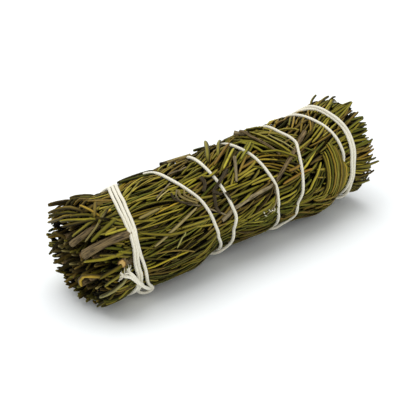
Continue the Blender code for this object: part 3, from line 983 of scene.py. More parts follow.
    def lay(self, arc: Array, x: Array, half_width: float, thickness: float,
            stiffness: float, capped: bool = True) -> Array:
        """Lay one thing on the coat and raise the map under it.

        The thing rests on the highest cells under its width, evened out along its length: stiff
        things bridge the hollows and limp ones sink into them.

        Args:
            arc: where it runs on the unrolled sheet, in millimetres.
            x: where it runs along the axis.
            half_width: half its width in millimetres.
            thickness: its thickness in millimetres.
            stiffness: 0 follows every hollow and 1 bridges them all.
            capped: whether the cap presses it in.

        Returns:
            The distance of its middle from the axis, at each station.
        """
        run = np.gradient(x)
        turn = np.gradient(arc)
        pace = np.maximum(np.hypot(run, turn), 1e-6)
        sideways = np.array((-0.75, 0.0, 0.75)) * half_width
        spot = self.cells(arc[:, None] + sideways * (run / pace)[:, None],
                          x[:, None] - sideways * (turn / pace)[:, None])
        ground = self.top[spot].max(axis=1)
        padded = np.pad(ground, 4, mode="edge")
        bridge = np.max([padded[s:s + len(ground)] for s in range(9)], axis=0)
        middle = stiffness * evened_out(bridge) + (1.0 - stiffness) * evened_out(ground)
        middle += 0.42 * thickness
        if capped:
            middle = evened_out(np.minimum(middle, self.cap[self.cells(arc, x)]))
        fine = np.linspace(0.0, len(arc) - 1.0, 3 * len(arc))
        station = np.arange(len(arc))
        rim = np.linspace(-1.0, 1.0, 7) * half_width
        ahead = np.interp(fine, station, run / pace)[:, None]
        aside = np.interp(fine, station, turn / pace)[:, None]
        fine_arc = np.interp(fine, station, arc)[:, None] + rim * ahead
        fine_x = np.interp(fine, station, x)[:, None] - rim * aside
        crown = 0.5 * thickness * np.sqrt(np.maximum(1.0 - (rim / half_width) ** 2, 0.0))
        raised = np.interp(fine, station, middle)[:, None] + crown
        spot = self.cells(fine_arc, fine_x)
        np.maximum.at(self.top, spot, raised)
        return middle


@dataclass(frozen=True)
class Tuft:
    """A bunch of needles that lie the same way: its middle, lean, usual length and colour.

    The lean is the angle from the axis towards growing turn angles.
    """

    x: float
    angle: float
    lean: float
    length: float
    tone: Tone


# The bunches on the side that shows, region by region from the butt to the tips
TUFTS = tuple(Tuft(*row) for row in (
    # round the butt, outside the butt band
    (-53, 39, -20, 12, Tone.OLIVE), (-50, 20, -16, 11, Tone.OLIVE), (-50, 44, 6, 14, Tone.YELLOW_OLIVE),
    (-51, 65, 14, 12, Tone.OLIVE), (-53, 80, 7, 12, Tone.DEEP_GREEN), (-52, 92, -4, 13, Tone.OLIVE),
    (-54, 105, 4, 12, Tone.OCHRE), (-51, 118, -18, 12, Tone.DEEP_GREEN),
    (-50, 132, -28, 12, Tone.OLIVE), (-51, 2, 4, 11, Tone.BROWN), (-52, -18, 16, 11, Tone.DUSK),
    (-51, -38, 14, 12, Tone.BROWN),
    # butt band to the second turn
    (-34, 9, -14, 17, Tone.YELLOW_OLIVE), (-35, 21, 2, 16, Tone.YELLOW_OLIVE),
    (-34, 36, 5, 17, Tone.OCHRE), (-37, 51, -3, 17, Tone.YELLOW_OLIVE),
    (-38, 61, 10, 13, Tone.YELLOW_OLIVE), (-34, 69, -12, 14, Tone.OLIVE),
    (-37, 84, 7, 13, Tone.DEEP_GREEN), (-36, 101, -1, 14, Tone.BROWN),
    (-35, 124, 8, 14, Tone.DEEP_GREEN), (-30, -18, 24, 13, Tone.DUSK), (-28, 9, 11, 14, Tone.OLIVE),
    (-27, 33, 5, 15, Tone.OCHRE), (-27, 60, -10, 16, Tone.OLIVE), (-23, 67, 2, 15, Tone.YELLOW_OLIVE),
    (-20, 76, -9, 13, Tone.BROWN), (-23, 86, -19, 15, Tone.OLIVE), (-24, 103, -10, 15, Tone.DEEP_GREEN),
    (-21, 120, -4, 15, Tone.OLIVE),
    # second turn to the third
    (-18, -6, -8, 13, Tone.BROWN), (-17, 7, -18, 13, Tone.OLIVE), (-16, 19, -18, 14, Tone.OLIVE),
    (-15, 33, -10, 14, Tone.BROWN), (-15, 44, 5, 12, Tone.YELLOW_OLIVE), (-12, 58, -4, 12, Tone.BROWN),
    (-9, 78, -23, 13, Tone.BROWN), (-12, 91, -16, 15, Tone.OLIVE), (-12, 110, -10, 15, Tone.DEEP_GREEN),
    # third turn to the fourth
    (-1, 4, -26, 14, Tone.OCHRE), (0, 16, -31, 13, Tone.YELLOW_OLIVE), (4, 12, -26, 11, Tone.OLIVE),
    (6, 33, -12, 11, Tone.ORANGE), (3, 44, -9, 12, Tone.YELLOW_OLIVE), (-3, 60, -2, 12, Tone.OLIVE),
    (4, 68, -10, 13, Tone.BROWN), (1, 79, -16, 16, Tone.OLIVE), (-1, 88, -26, 14, Tone.OLIVE),
    (2, 101, 9, 16, Tone.DEEP_GREEN), (0, 122, 13, 14, Tone.OLIVE), (1, -18, -20, 12, Tone.DUSK),
    # fourth turn to the fifth
    (17, 11, 62, 15, Tone.OLIVE), (21, 22, 64, 12, Tone.YELLOW_OLIVE),
    (20, -9, 48, 15, Tone.YELLOW_OLIVE), (17, 37, 30, 15, Tone.OCHRE), (20, 54, 0, 11, Tone.ORANGE),
    (16, 67, -7, 12, Tone.OLIVE), (16, 84, -15, 13, Tone.DEEP_GREEN), (15, 99, -6, 13, Tone.DEEP_GREEN),
    (13, 117, 0, 15, Tone.OLIVE),
    # fifth turn to the sixth
    (38, -5, -32, 12, Tone.OCHRE), (33, 17, -22, 13, Tone.BROWN), (34, 31, -11, 14, Tone.YELLOW_OLIVE),
    (35, 39, -15, 15, Tone.OCHRE), (31, 47, -14, 14, Tone.BROWN), (28, 62, -24, 13, Tone.DEEP_GREEN),
    (26, 76, -36, 12, Tone.DEEP_GREEN), (28, 92, -22, 13, Tone.OLIVE), (33, 115, 4, 15, Tone.OCHRE),
    # round the tip band and the tips
    (46, 2, -20, 10, Tone.YELLOW_OLIVE), (46, 14, -22, 10, Tone.OLIVE), (46, 32, -16, 11, Tone.BROWN),
    (46, 52, -2, 12, Tone.OLIVE), (54, 8, -9, 14, Tone.OLIVE), (54, 25, -17, 14, Tone.BROWN),
    (54, 44, -1, 14, Tone.OLIVE), (54, 60, 1, 14, Tone.OLIVE), (53, 75, 2, 14, Tone.BROWN),
    (53, 88, 8, 14, Tone.OLIVE), (52, 104, 11, 14, Tone.BROWN), (50, 120, 10, 14, Tone.OLIVE),
    (53, -15, -16, 13, Tone.OLIVE), (52, -35, -12, 13, Tone.OCHRE),
))


@dataclass(frozen=True)
class Stray:
    """One needle laid singly on top of the coat, from one place to another.

    The bow is how far its middle stands off the straight line, towards growing turn angles, and
    the lifts are how far its two ends stand off the coat.
    """

    start: tuple[float, float]
    end: tuple[float, float]
    tone: Tone
    width: float = 1.15
    bow: float = 0.0
    lifts: tuple[float, float] = (0.0, 0.0)


# Single needles from and to (x, turn angle), pressed in under the string
FAN = tuple(Stray(*row) for row in (
    ((33.7, 52), (31.8, 98), Tone.OLIVE, 1.15, 0.7),
    ((34.8, 50), (33, 99), Tone.YELLOW_OLIVE, 1.05, 0.9),
    ((35.9, 49), (34.3, 100), Tone.DEEP_GREEN, 1.15, 1), ((37, 45), (35.4, 101), Tone.OCHRE, 1.05, 1.1),
    ((38, 44), (36.2, 105), Tone.YELLOW_OLIVE, 1.15, 1.3),
    ((38.9, 47), (37.5, 107), Tone.OLIVE, 1.05, 1.4), ((39.7, 51), (38.8, 108), Tone.OCHRE, 1.15, 1.35),
    ((40.6, 54), (39.9, 110), Tone.BROWN, 1, 1.35),
    ((41.5, 59), (41.3, 111), Tone.YELLOW_OLIVE, 1.1, 1.3),
    ((42.3, 65), (42.8, 112), Tone.OCHRE, 1.05, 1.3), ((43.2, 72), (44.4, 113), Tone.OLIVE, 1, 1.2),
))

# Single needles from and to (x, turn angle), over the coat and the string
STRAYS = tuple(Stray(*row) for row in (
    # the long ones between the butt band and the second turn
    ((-39.5, 73), (-21, 53), Tone.PALE, 1.15, 0, (0.1, 0.2)),
    ((-43, 54.5), (-19, 67), Tone.OLIVE, 1, 2.4), ((-28.5, 66), (-17.6, 68), Tone.YELLOW_OLIVE, 0.95),
    ((-26.2, 25), (-32.2, 31), Tone.PALE, 0.5, 0.3, (0.2, 0.1)),
    ((-41, 41), (-33.3, 40), Tone.TAN, 1.25, 0, (0.1, 0.3)),
    ((-31.4, 84), (-28.6, 70), Tone.PALE, 0.75, -0.9, (0.1, 0.6)),
    # over the third and fourth turns
    ((-13.2, 27), (-6.4, 24), Tone.YELLOW_OLIVE, 1, 0.4, (0.2, 0.3)),
    ((3.1, 24), (11.7, 9), Tone.YELLOW_OLIVE, 1.05, 0, (0.1, 0.6)),
    ((-6, 17), (6.4, -5), Tone.ORANGE, 1.15), ((-5, 27), (5.6, 5), Tone.YELLOW_OLIVE, 1.05),
    # between the fourth and fifth turns, running down to the right
    ((16.3, -9), (21, 37), Tone.YELLOW_OLIVE, 1.05, -0.8),
    ((19.5, 8), (23.3, 36), Tone.PALE, 0.8, -0.4), ((18, -20), (22, -7), Tone.OLIVE, 1.1),
    ((12.1, 24), (22.4, 45), Tone.OLIVE, 1, -0.8), ((17.4, 54), (22.7, 53), Tone.ORANGE, 1.15, 0.2),
    # shrivelled florets at the end of their stalk
    ((5, 90), (5.9, 92.5), Tone.FLORET, 0.5, 0.1, (0.1, 0.3)),
    ((7.4, 86), (8.3, 88), Tone.FLORET, 0.5, 0.1, (0.1, 0.3)),
    ((9.6, 86.5), (9, 90), Tone.FLORET, 0.45, 0.1, (0.1, 0.3)),
    ((4.3, 85), (4.9, 88), Tone.FLORET, 0.45, -0.1, (0.1, 0.3)),
    ((6.5, 84.5), (7, 87.5), Tone.FLORET, 0.4, -0.1, (0.2, 0.4)),
    ((6.2, 92.5), (7, 95), Tone.FLORET, 0.4, 0.1, (0.1, 0.3)),
))


@dataclass(frozen=True)
class Rod:
    """One needle that stands free of the coat, from its free end inwards.

    The places are (x, turn angle, distance from the axis).
    """

    places: tuple
    width: float
    tone: Tone


# Thick needles at the butt
BUTT_RODS = tuple(Rod(*row) for row in (
    # the outline on top
    (((-58.9, -33, 17.2), (-54.1, -33, 16.6), (-50.3, -32, 16)), 1.85, Tone.BROWN),
    (((-58.6, -42, 15.2), (-56.1, -27, 15.2), (-55.4, -4, 15.9)), 1.3, Tone.BROWN),
    (((-57.7, -49, 14.8), (-56.7, -30, 13.7), (-56, -5, 14.7)), 1.15, Tone.OLIVE),
    (((-57.5, -61, 14), (-57.4, -35, 12.2), (-56.6, -9, 13.7)), 1.2, Tone.BROWN),
    (((-58, -25, 11.6), (-57, 4, 13.1), (-56.1, 18, 14.8), (-54.5, 26, 17.1)), 1.2, Tone.OLIVE),
    (((-58.9, -16, 10.2), (-57.6, 7, 12.1), (-55.8, 21, 15.1), (-54.2, 27, 17.4)), 1.15, Tone.BROWN),
    (((-59, 16, 9.2), (-57.2, 23, 12.7), (-55.3, 26, 15.9)), 1.1, Tone.YELLOW_OLIVE),
    (((-57, -4, 13.5), (-56, 8, 14.9), (-54.7, 19, 16.8)), 1.1, Tone.OLIVE),
    (((-54.7, 3, 17.1), (-54.3, 11, 17.4), (-53.2, 21, 17.5)), 1, Tone.OCHRE),
    (((-59.4, -44, 9.3), (-57.6, -46, 7.9), (-56.1, -50, 6.2)), 1.3, Tone.BROWN),
    (((-60.2, -88, 6.9), (-58.7, -81, 7.5), (-57, -76, 8)), 1.2, Tone.DUSK),
    (((-58.8, -76, 11.1), (-56.8, -76, 10.8), (-55.1, -77, 10.5)), 1.2, Tone.BROWN),
    (((-52.1, -28, 16.9), (-49.5, -23, 17.2)), 1.7, Tone.DUSK),
    (((-49.6, -33, 16.9), (-46.8, -29, 16.8)), 1.5, Tone.DEEP_GREEN),
    (((-47.8, -35, 17.2), (-45, -30, 16.6)), 1.4, Tone.DUSK),
    (((-57.9, 40, 11.3), (-56.4, 37, 14.2), (-54.6, 34, 17), (-52.5, 29, 17.8)), 0.9, Tone.TAN),
    # beside the thick stem and below it
    (((-57.1, 45, 13.2), (-55.5, 42.5, 15.6), (-53.9, 41, 17.5), (-49.1, 34, 16.9)), 1.5, Tone.OLIVE),
    (((-54.3, 25, 17.4), (-51.6, 14, 17.3), (-49.4, 4, 16.7)), 1.4, Tone.BROWN),
    (((-54.3, 33, 17.4), (-52.7, 27, 17.5), (-49.5, 20, 17), (-45.3, 13, 16.3)),
     0.85, Tone.YELLOW_OLIVE),
    (((-52.9, 31, 17.5), (-50.5, 24, 17.1), (-47.4, 18, 16.5)), 0.85, Tone.YELLOW_OLIVE),
    (((-52.8, 32, 17.6), (-49.5, 29, 17.1), (-46.3, 25.5, 16.3)), 1.1, Tone.OLIVE),
    (((-54.4, 46.5, 17.5), (-46.4, 45, 16.3)), 1, Tone.YELLOW_OLIVE),
    (((-59.1, 72, 8.4), (-58.5, 69, 10), (-57.1, 71, 13), (-55.3, 70, 15.9), (-51.1, 69, 17.1)),
     1.3, Tone.OLIVE),
    (((-57.1, 97, 13), (-56.1, 89, 14.7), (-54.9, 84, 16.6), (-52.9, 82, 17.2)), 1.35, Tone.OLIVE),
    (((-56.2, 107, 14.5), (-55.5, 97, 15.8), (-53.2, 90, 17.6), (-51.5, 88, 17.2)),
     1.2, Tone.YELLOW_OLIVE),
    (((-56.4, 129, 14.6), (-55.4, 116, 16), (-54.3, 105, 17.5), (-51.4, 101, 17.2)), 1.45, Tone.PALE),
    (((-54.2, 138, 16.8), (-51.9, 130, 17.3), (-49, 118, 16.8)), 1.2, Tone.OLIVE),
    # the lower left
    (((-60.2, -121, 7.7), (-57.9, -120, 7.4), (-56, -117, 7.2)), 1.4, Tone.BROWN),
    (((-60.2, -143, 7.4), (-57.1, -139, 6.9), (-55, -141, 6.7)), 1.5, Tone.DUSK),
    (((-59.5, -168, 8.9), (-57.3, -167, 8.5), (-55.4, -166, 8.2)), 1.4, Tone.BROWN),
    (((-58.6, -172, 11.2), (-56.2, -171, 10.8), (-54.4, -172, 10.7)), 1.3, Tone.BROWN),
    (((-58.9, 158, 6.9), (-57, 158, 6.6), (-55, 160, 6.4)), 1.3, Tone.BROWN),
    (((-56.8, 178, 13.9), (-53.7, 180, 13.4), (-52.3, 182, 12.8)), 1.3, Tone.OLIVE),
    (((-57.5, 171, 13.6), (-54.3, 173, 13.1), (-52.5, 176, 12.4)), 1.3, Tone.BROWN),
    (((-57.1, 159, 14.4), (-54.9, 160, 13.7), (-53.3, 161, 12.7)), 1.3, Tone.OLIVE),
    (((-58.8, 141, 8.9), (-59.8, 128, 7.2), (-59.6, 104, 7.8), (-58.6, 98, 10), (-57.2, 96, 12.7)),
     1.5, Tone.OCHRE),
    (((-54.9, 153, 16.7), (-55.2, 136, 16.2), (-54, 123, 16.7)), 1.1, Tone.OLIVE),
))

# Needles that stand clear of the coat, on its outline and on top
STANDING = tuple(Rod(*row) for row in (
    (((3.9, -33, 19.3), (-0.5, -14, 18.3), (-5.2, 4, 17.3)), 1.6, Tone.YELLOW_OLIVE),
    (((-1.8, -33, 17.9), (4.4, -33, 17.3)), 1.3, Tone.DEEP_GREEN),
    (((9.6, -33, 17.9), (4.4, -15, 17.9), (-0.9, 4, 17.3)), 1.4, Tone.YELLOW_OLIVE),
    (((-33.6, -31, 16.9), (-28, -31, 17), (-20, -30, 16.6)), 1.5, Tone.DUSK),
    (((-34.8, -20, 17.2), (-30.8, -15, 17.2), (-24, -13, 16.8)), 1.3, Tone.DEEP_GREEN),
    (((54.7, -32, 18.8), (52.6, -32, 18), (51, -31, 16.9)), 1.05, Tone.YELLOW_OLIVE),
    (((57.8, -24, 17), (54.5, -20, 17), (51.2, -16, 16.6)), 1.2, Tone.OLIVE),
    (((59.5, 94, 16.4), (53.5, 92, 16.8), (49.8, 91, 16.2)), 1.05, Tone.OLIVE),
    (((57.2, 120, 16.8), (51.5, 116, 16.7)), 1.2, Tone.OLIVE),
))


@dataclass
class NeedleBatch:
    """Needles waiting to be made into meshes: centre lines with their widths and colours."""

    ring: tuple = ((-1.0, 0.0), (-0.7, 0.66), (0.0, 1.0), (0.7, 0.66), (1.0, 0.0), (0.5, -0.8),
                   (-0.5, -0.8))
    spacing: tuple = (0.0, 0.06, 0.2, 0.4, 0.6, 0.8, 0.94, 1.0)
    width_profile: tuple = (0.45, 0.75, 0.95, 1.0, 1.0, 0.95, 0.78, 0.4)
    lines: list = field(default_factory=list)
    ups: list = field(default_factory=list)
    sizes: list = field(default_factory=list)
    tints: list = field(default_factory=list)

    def add(self, line: Array, up: Array, width: float, thickness: float,
            tint: Array, shade: Array) -> None:
        """Take one needle: a centre line in metres, its upper side, sizes, colour and shade."""
        _, reached = along_lines(line[None])
        wanted = np.array(self.spacing) * reached[0, -1]
        self.lines.append([np.interp(wanted, reached[0], line[:, axis]) for axis in range(3)])
        self.ups.append([np.interp(wanted, reached[0], up[:, axis]) for axis in range(3)])
        self.sizes.append((0.5 * width, 0.5 * thickness))
        dimmed = tint * np.interp(wanted, reached[0], shade)[:, None]
        dimmed[:, 3] = 1.0
        self.tints.append(dimmed)

    def surface(self) -> Surface:
        """Make all needles of the batch.

        A needle's ring is an oval, rounder above than below. It is carried along the centre line,
        and narrows at both ends.
        """
        lines = np.array(self.lines).transpose(0, 2, 1)
        tangents, reached = along_lines(lines)
        ups = squared(np.array(self.ups).transpose(0, 2, 1), tangents)
        across = np.cross(tangents, ups)
        ring = np.array(self.ring)
        sizes = np.array(self.sizes)[:, None, None] * MM
        swell = np.array(self.width_profile)[None, :, None]
        wide = ring[None, None, :, 0] * sizes[..., 0] * swell
        tall = ring[None, None, :, 1] * sizes[..., 1] * (0.4 + 0.6 * swell)
        rings = (lines[:, :, None] + wide[..., None] * across[:, :, None]
                 + tall[..., None] * ups[:, :, None])
        shape = rings.shape[:3]
        share = np.broadcast_to(np.array(self.spacing)[None, :, None], shape)
        # leaf Y, how far a point lies off the middle, sets the painted shade at the edges; leaf Z is
        # the share of painted shade on the underside.
        off_middle = np.broadcast_to(np.abs(ring[:, 0])[None, None], shape)
        underside = np.broadcast_to((ring[:, 1] < -0.1).astype(float)[None, None], shape)
        leaf = np.stack((share, off_middle, 0.7 * underside), axis=-1)
        return loft(rings, np.array(self.tints), leaf, reached / MM)


@dataclass
class NeedleCoat:
    """All the needles: the coat outside, and the brushes at the butt and at the tips."""

    axis: BundleAxis
    coat: CoatMap
    rng: np.random.Generator
    count: int = 7500
    samples: int = 30
    brush_radius: float = 12.6
    gain: float = 1.06
    least_weathered: float = 0.55
    weathering_range: float = 0.62
    batches: dict = field(default_factory=dict)
    tufts: list = field(default_factory=list)
    waiting: list = field(default_factory=list)

    def batch(self, angle: float, radius: float) -> NeedleBatch:
        """Give the batch of the sprig that a place belongs to."""
        if radius < 5.2:
            number = 1
        elif radius < 10.6:
            number = 2 + round((angle % FULL_TURN) / 60.0) % 6
        else:
            number = 8 + round((angle % FULL_TURN) / 30.0) % 12
        return self.batches.setdefault(number, NeedleBatch())

    def tint(self, tone: Tone, shade: float) -> Array:
        """Vary a tone in brightness, and a little in each of its channels."""
        colour = np.array(linear(tone.value))
        colour[:3] *= self.gain * shade * self.rng.lognormal(0.0, 0.24)
        colour[:3] *= 1.0 + self.rng.normal(0.0, 1.0, 3) * (0.03, 0.03, 0.05)
        return colour

    def spread_tufts(self) -> None:
        """Take the listed tufts, and fill the rest of the outside with random ones."""
        self.tufts = list(TUFTS)
        placed = np.array([(t.x, self.coat.arc(t.angle)) for t in TUFTS])
        tones = (Tone.OLIVE, Tone.DEEP_GREEN, Tone.YELLOW_OLIVE, Tone.OCHRE, Tone.BROWN)
        for x in np.arange(-54.0, 58.0, 8.5):
            for arc in np.arange(0.0, self.coat.girth, 7.2):
                spot = np.array((x, arc)) + self.rng.normal(0.0, 1.6, 2)
                off = self.coat.between(placed[:, 1], spot[1])
                lean = self.rng.normal(-4.0, 15.0)
                length = self.rng.uniform(12.0, 17.0)
                tone = tones[self.rng.integers(len(tones))]
                if np.min(np.hypot(placed[:, 0] - spot[0], off)) > 7.5:
                    angle = self.coat.angle(spot[1])
                    self.tufts.append(Tuft(spot[0], angle, lean, length, tone))

    def path(self, arc: float, x: float, lean: float, length: float,
             bend: float) -> tuple[Array, Array]:
        """Draw a bent needle on the unrolled sheet.

        Its heading starts half the bend before the lean and ends half the bend after it, in
        radians, and its places are the heading's cosine and sine summed along its length.
        """
        along = np.linspace(-0.5, 0.5, self.samples)
        heading = lean + bend * along
        run = np.cumsum(np.cos(heading)) * length / self.samples
        turn = np.cumsum(np.sin(heading)) * length / self.samples
        middle = self.samples // 2
        return arc + turn - turn[middle], x + run - run[middle]

    def trimmed(self, arc: Array, x: Array, low: float, high: float) -> tuple[Array, Array]:
        """Cut a path where it leaves the stretch from low to high, and space it evenly again."""
        inside = np.flatnonzero((x > low) & (x < high))
        if len(inside) < 2:
            return arc[:0], x[:0]
        wanted = np.linspace(inside[0], inside[-1], self.samples)
        station = np.arange(len(x))
        return np.interp(wanted, station, arc), np.interp(wanted, station, x)

    def rolled(self, line: Array, roll: float) -> Array:
        """Give the upper side of a needle along its line, rolled about it from facing outwards."""
        up = self.axis.outward(line)
        tangents, _ = along_lines(line[None])
        return np.cos(roll) * up + np.sin(roll) * np.cross(tangents[0], up)

    def finish_coat(self) -> None:
        """Take the needles laid so far into their batches, shaded by those round them."""
        for arc, x, radius, *rest in self.waiting:
            self.take(arc, x, radius, *rest, self.coat.shade(arc, x, radius))
        self.waiting = []

    def take(self, arc: Array, x: Array, radius: Array, width: float,
             thickness: float, tint: Array, roll: float, shade: Array) -> None:
        """Turn a laid needle into a centre line in space and put it in its sprig's batch."""
        angle = self.coat.angle(arc)
        line = self.axis.place(angle, x, radius)
        # Painted shade: needles on the underside of the bundle are darkened, by up to 0.4.
        shade = shade * (1.0 - 0.4 * ease((-np.cos(np.radians(angle)) - 0.15) / 0.5))
        if self.rng.random() < 0.5:
            line, shade = line[::-1], shade[::-1]
        up = self.rolled(line, roll)
        middle = len(arc) // 2
        self.batch(angle[middle], radius[middle]).add(line, up, width, thickness, tint, shade)

    def lay_coat(self) -> None:
        """Lay the needles of the outside, where there is most room first.

        Each needle picks the roomiest of a few places, takes the lean of the bunch there, and is
        laid on the coat. Early ones lie deep and lean more freely.
        """
        spots = np.array([(t.x, self.coat.arc(t.angle)) for t in self.tufts])
        leans = np.radians([t.lean for t in self.tufts])
        tries = 7
        for index in range(self.count):
            x = self.rng.uniform(-56.0, 57.0, tries)
            arc = self.rng.uniform(0.0, self.coat.girth, tries)
            off = self.coat.between(arc[:, None], spots[:, 1])
            run = x[:, None] - spots[:, 0]
            ahead = run * np.cos(leans) + off * np.sin(leans)
            aside = off * np.cos(leans) - run * np.sin(leans)
            near = np.hypot(ahead / 1.7, aside).argmin(axis=1)
            reach = np.linspace(-6.0, 6.0, 7)
            run = np.clip(x[:, None] + np.cos(leans[near])[:, None] * reach, -54.0, 55.0)
            room = self.coat.room(arc[:, None] + np.sin(leans[near])[:, None] * reach, run)
            best = (room.mean(axis=1) + 0.5 * room.min(axis=1)).argmax()
            if room[best].mean() < (2.0 if x[best] < -49.0 else 0.95):
                continue
            tuft = self.tufts[near[best]]
            done = index / self.count
            lean = np.radians(tuft.lean + self.rng.normal(0.0, 10.0 - 6.0 * done))
            fine = ease((x[best] + 44.0) / 5.0) * ease((-16.0 - x[best]) / 6.0)
            length = max(6.0, self.rng.normal(tuft.length, 2.6)) + 4.0 * fine
            bend = self.rng.normal(0.0, 0.2)
            path = self.path(arc[best], x[best], lean, length, bend)
            low = BUTT_X - 3.0 + 8.0 * self.rng.random() ** 1.4
            high = TIP_X + 2.8 - 4.0 * self.rng.random() ** 1.6
            path = self.trimmed(*path, low, high)
            if len(path[0]) == 0:
                continue
            thick = ease((-46.0 - x[best]) / 4.0)
            width = (0.98 - 0.2 * fine + 0.2 * thick) * self.rng.uniform(0.82, 1.15)
            thickness = 0.8 * width * self.rng.uniform(0.85, 1.1)
            stiffness = self.rng.uniform(0.45, 0.9)
            radius = self.coat.lay(*path, 0.5 * width, thickness, stiffness)
            tone = tuft.tone if self.rng.random() < 0.6 else MIXED[self.rng.integers(len(MIXED))]
            self.waiting.append((*path, radius, width, thickness, self.tint(tone, 1.0),
                                 self.rng.normal(0.0, 0.4)))

    def lay_strays(self, strays: tuple[Stray, ...], capped: bool) -> None:
        """Lay single needles over the coat.

        Args:
            strays: the needles.
            capped: whether they go under the string.
        """
        share = np.linspace(0.0, 1.0, self.samples)
        for stray in strays:
            x = stray.start[0] + share * (stray.end[0] - stray.start[0])
            angle = stray.start[1] + share * (stray.end[1] - stray.start[1])
            arc = self.coat.arc(angle)
            run, turn = x[-1] - x[0], arc[-1] - arc[0]
            span = np.hypot(run, turn)
            hump = stray.bow * 4.0 * share * (1.0 - share)
            x, arc = x + hump * turn / span, arc + hump * run / span
            thickness = 0.85 * stray.width
            radius = self.coat.lay(arc, x, 0.5 * stray.width, thickness, 0.8, capped)
            radius = lifted(radius, stray.lifts)
            needle = (arc, x, radius, stray.width, thickness, self.tint(stray.tone, 1.05), 0.0)
            if capped:
                self.waiting.append(needle)
            else:
                self.take(*needle, np.ones(self.samples))

    def make_room(self, rods: tuple[Rod, ...]) -> None:
        """Raise the map under needles that will stand free, so that what is below them is dim."""
        for rod in rods:
            line = smooth_line(self.coat.unrolled(rod.places), 2 * self.samples, 4)
            x, arc, radius = line.T
            for aside in (-0.4, 0.0, 0.4):
                spot = self.coat.cells(arc + aside, x)
                np.maximum.at(self.coat.top, spot, radius + 0.3 * rod.width)

    def place_rods(self, rods: tuple[Rod, ...], buried: float, dim: float) -> None:
        """Place needles that stand free of the coat, each carried on a little way into it.

        Args:
            rods: the needles.
            buried: how far they go on into the bundle, in millimetres.
            dim: how far from their inner ends they are in full light, in millimetres.
        """
        for number, rod in enumerate(rods):
            keys = np.array(rod.places, float)
            points = self.axis.place(keys[:, 1], keys[:, 0], keys[:, 2])
            way = points[-1] - points[-2]
            way = way / np.linalg.norm(way) - 0.6 * self.axis.outward(points[-1]) + (0.2, 0.0, 0.0)
            points = np.vstack((points, points[-1] + buried * MM * way))
            line = smooth_line(points, self.samples)
            up = self.axis.outward(line) - (0.35, 0.0, 0.0)
            line, up = line[::-1], up[::-1]
            shade = 0.08 + 0.92 * ease(along_lines(line[None])[1][0] / (dim * MM))
            weathering = self.least_weathered + self.weathering_range * (GOLDEN * number % 1.0)
            self.batch(keys[0, 1], keys[0, 2]).add(
                line, up, rod.width, 0.85 * rod.width, self.tint(rod.tone, weathering), shade)

    def fill_brush(self, end: float, depth: float, count: int, dome: float, ragged: float,
                   thick: float, fade: float, tones: tuple) -> None:
        """Fill one end of the bundle with needles that point out of it.

        The needles start inside the bundle, on an even spiral over its cross-section, and lean
        outwards a little. Their ends lie on a dome, ragged by a random share.

        Args:
            end: x of the dome's middle; its sign says which end.
            depth: how far inside the needles start.
            count: how many needles.
            dome: how much shorter the needles at the rim are.
            ragged: how far an end may lie short of the dome.
            thick: how wide the needles are.
            fade: how far in from their tips the needles darken with painted shade, in millimetres.
            tones: the colours that they take.
        """
        way = np.sign(end)
        number = np.arange(count) + 0.5
        radius = self.brush_radius * np.sqrt(number / count) + self.rng.normal(0.0, 0.5, count)
        angle = number * GOLDEN_ANGLE + self.rng.normal(0.0, 5.0, count)
        share = np.linspace(0.0, 1.0, self.samples)
        hubs = self.rng.uniform(-self.brush_radius, self.brush_radius, (18, 2))
        hub_leans = self.rng.normal(0.0, 0.2, (18, 2))
        for r, a in zip(np.maximum(radius, 0.2), np.radians(angle)):
            rim = r / self.brush_radius
            short = self.rng.random() ** 1.3
            tip = end - way * (dome * rim * rim + ragged * short)
            start = end - way * depth
            near = np.hypot(hubs[:, 0] - r * np.cos(a), hubs[:, 1] - r * np.sin(a)).argmin()
            lean = (hub_leans[near] + self.rng.normal(0.0, 0.1, 2)) * abs(tip - start)
            bow = self.rng.normal(0.0, 0.5, 2)
            hump = 4.0 * share * (1.0 - share)
            flare = 1.0 + 0.1 * share ** 2
            y = r * np.cos(a) * flare + lean[0] * (share - 0.6) + bow[0] * hump
            z = r * np.sin(a) * flare + lean[1] * (share - 0.6) + bow[1] * hump
            turned = np.degrees(np.arctan2(y, z))
            held = np.minimum(np.hypot(y, z), 14.4 + 0.8 * share)
            held = self.axis.pressed(turned, held, 0.6)
            line = self.axis.place(turned, start + share * (tip - start), held)
            up = self.rolled(line, self.rng.uniform(-np.pi, np.pi))
            width = thick * self.rng.uniform(0.8, 1.2)
            # Painted shade: a needle whose end lies further inside is darker, and each darkens further
            # in from its tip.
            tint = self.tint(tones[self.rng.integers(len(tones))], 1.0 - 0.7 * short)
            shade = np.exp(-(1.0 - share) * abs(tip - start) / fade)
            self.batch(turned[-1], held[-1]).add(line, up, width, 0.8 * width, tint, shade)

    def build(self, finish: Material, mass: Surface, mass_finish: Material) -> int:
        """Make one piece of needles for each sprig, the core one with the pressed mass in it.

        Returns:
            How many needles there are.
        """
        total = 0
        for number, batch in sorted(self.batches.items()):
            surfaces = [batch.surface()]
            finishes = [finish]
            if number == 1:
                surfaces.append(mass)
                finishes.append(mass_finish)
            name = f"sprig_{number:02d}"
            make_piece(name + "_needles", surfaces, finishes, (name + "_leaves",))
            total += len(batch.lines)
        return total


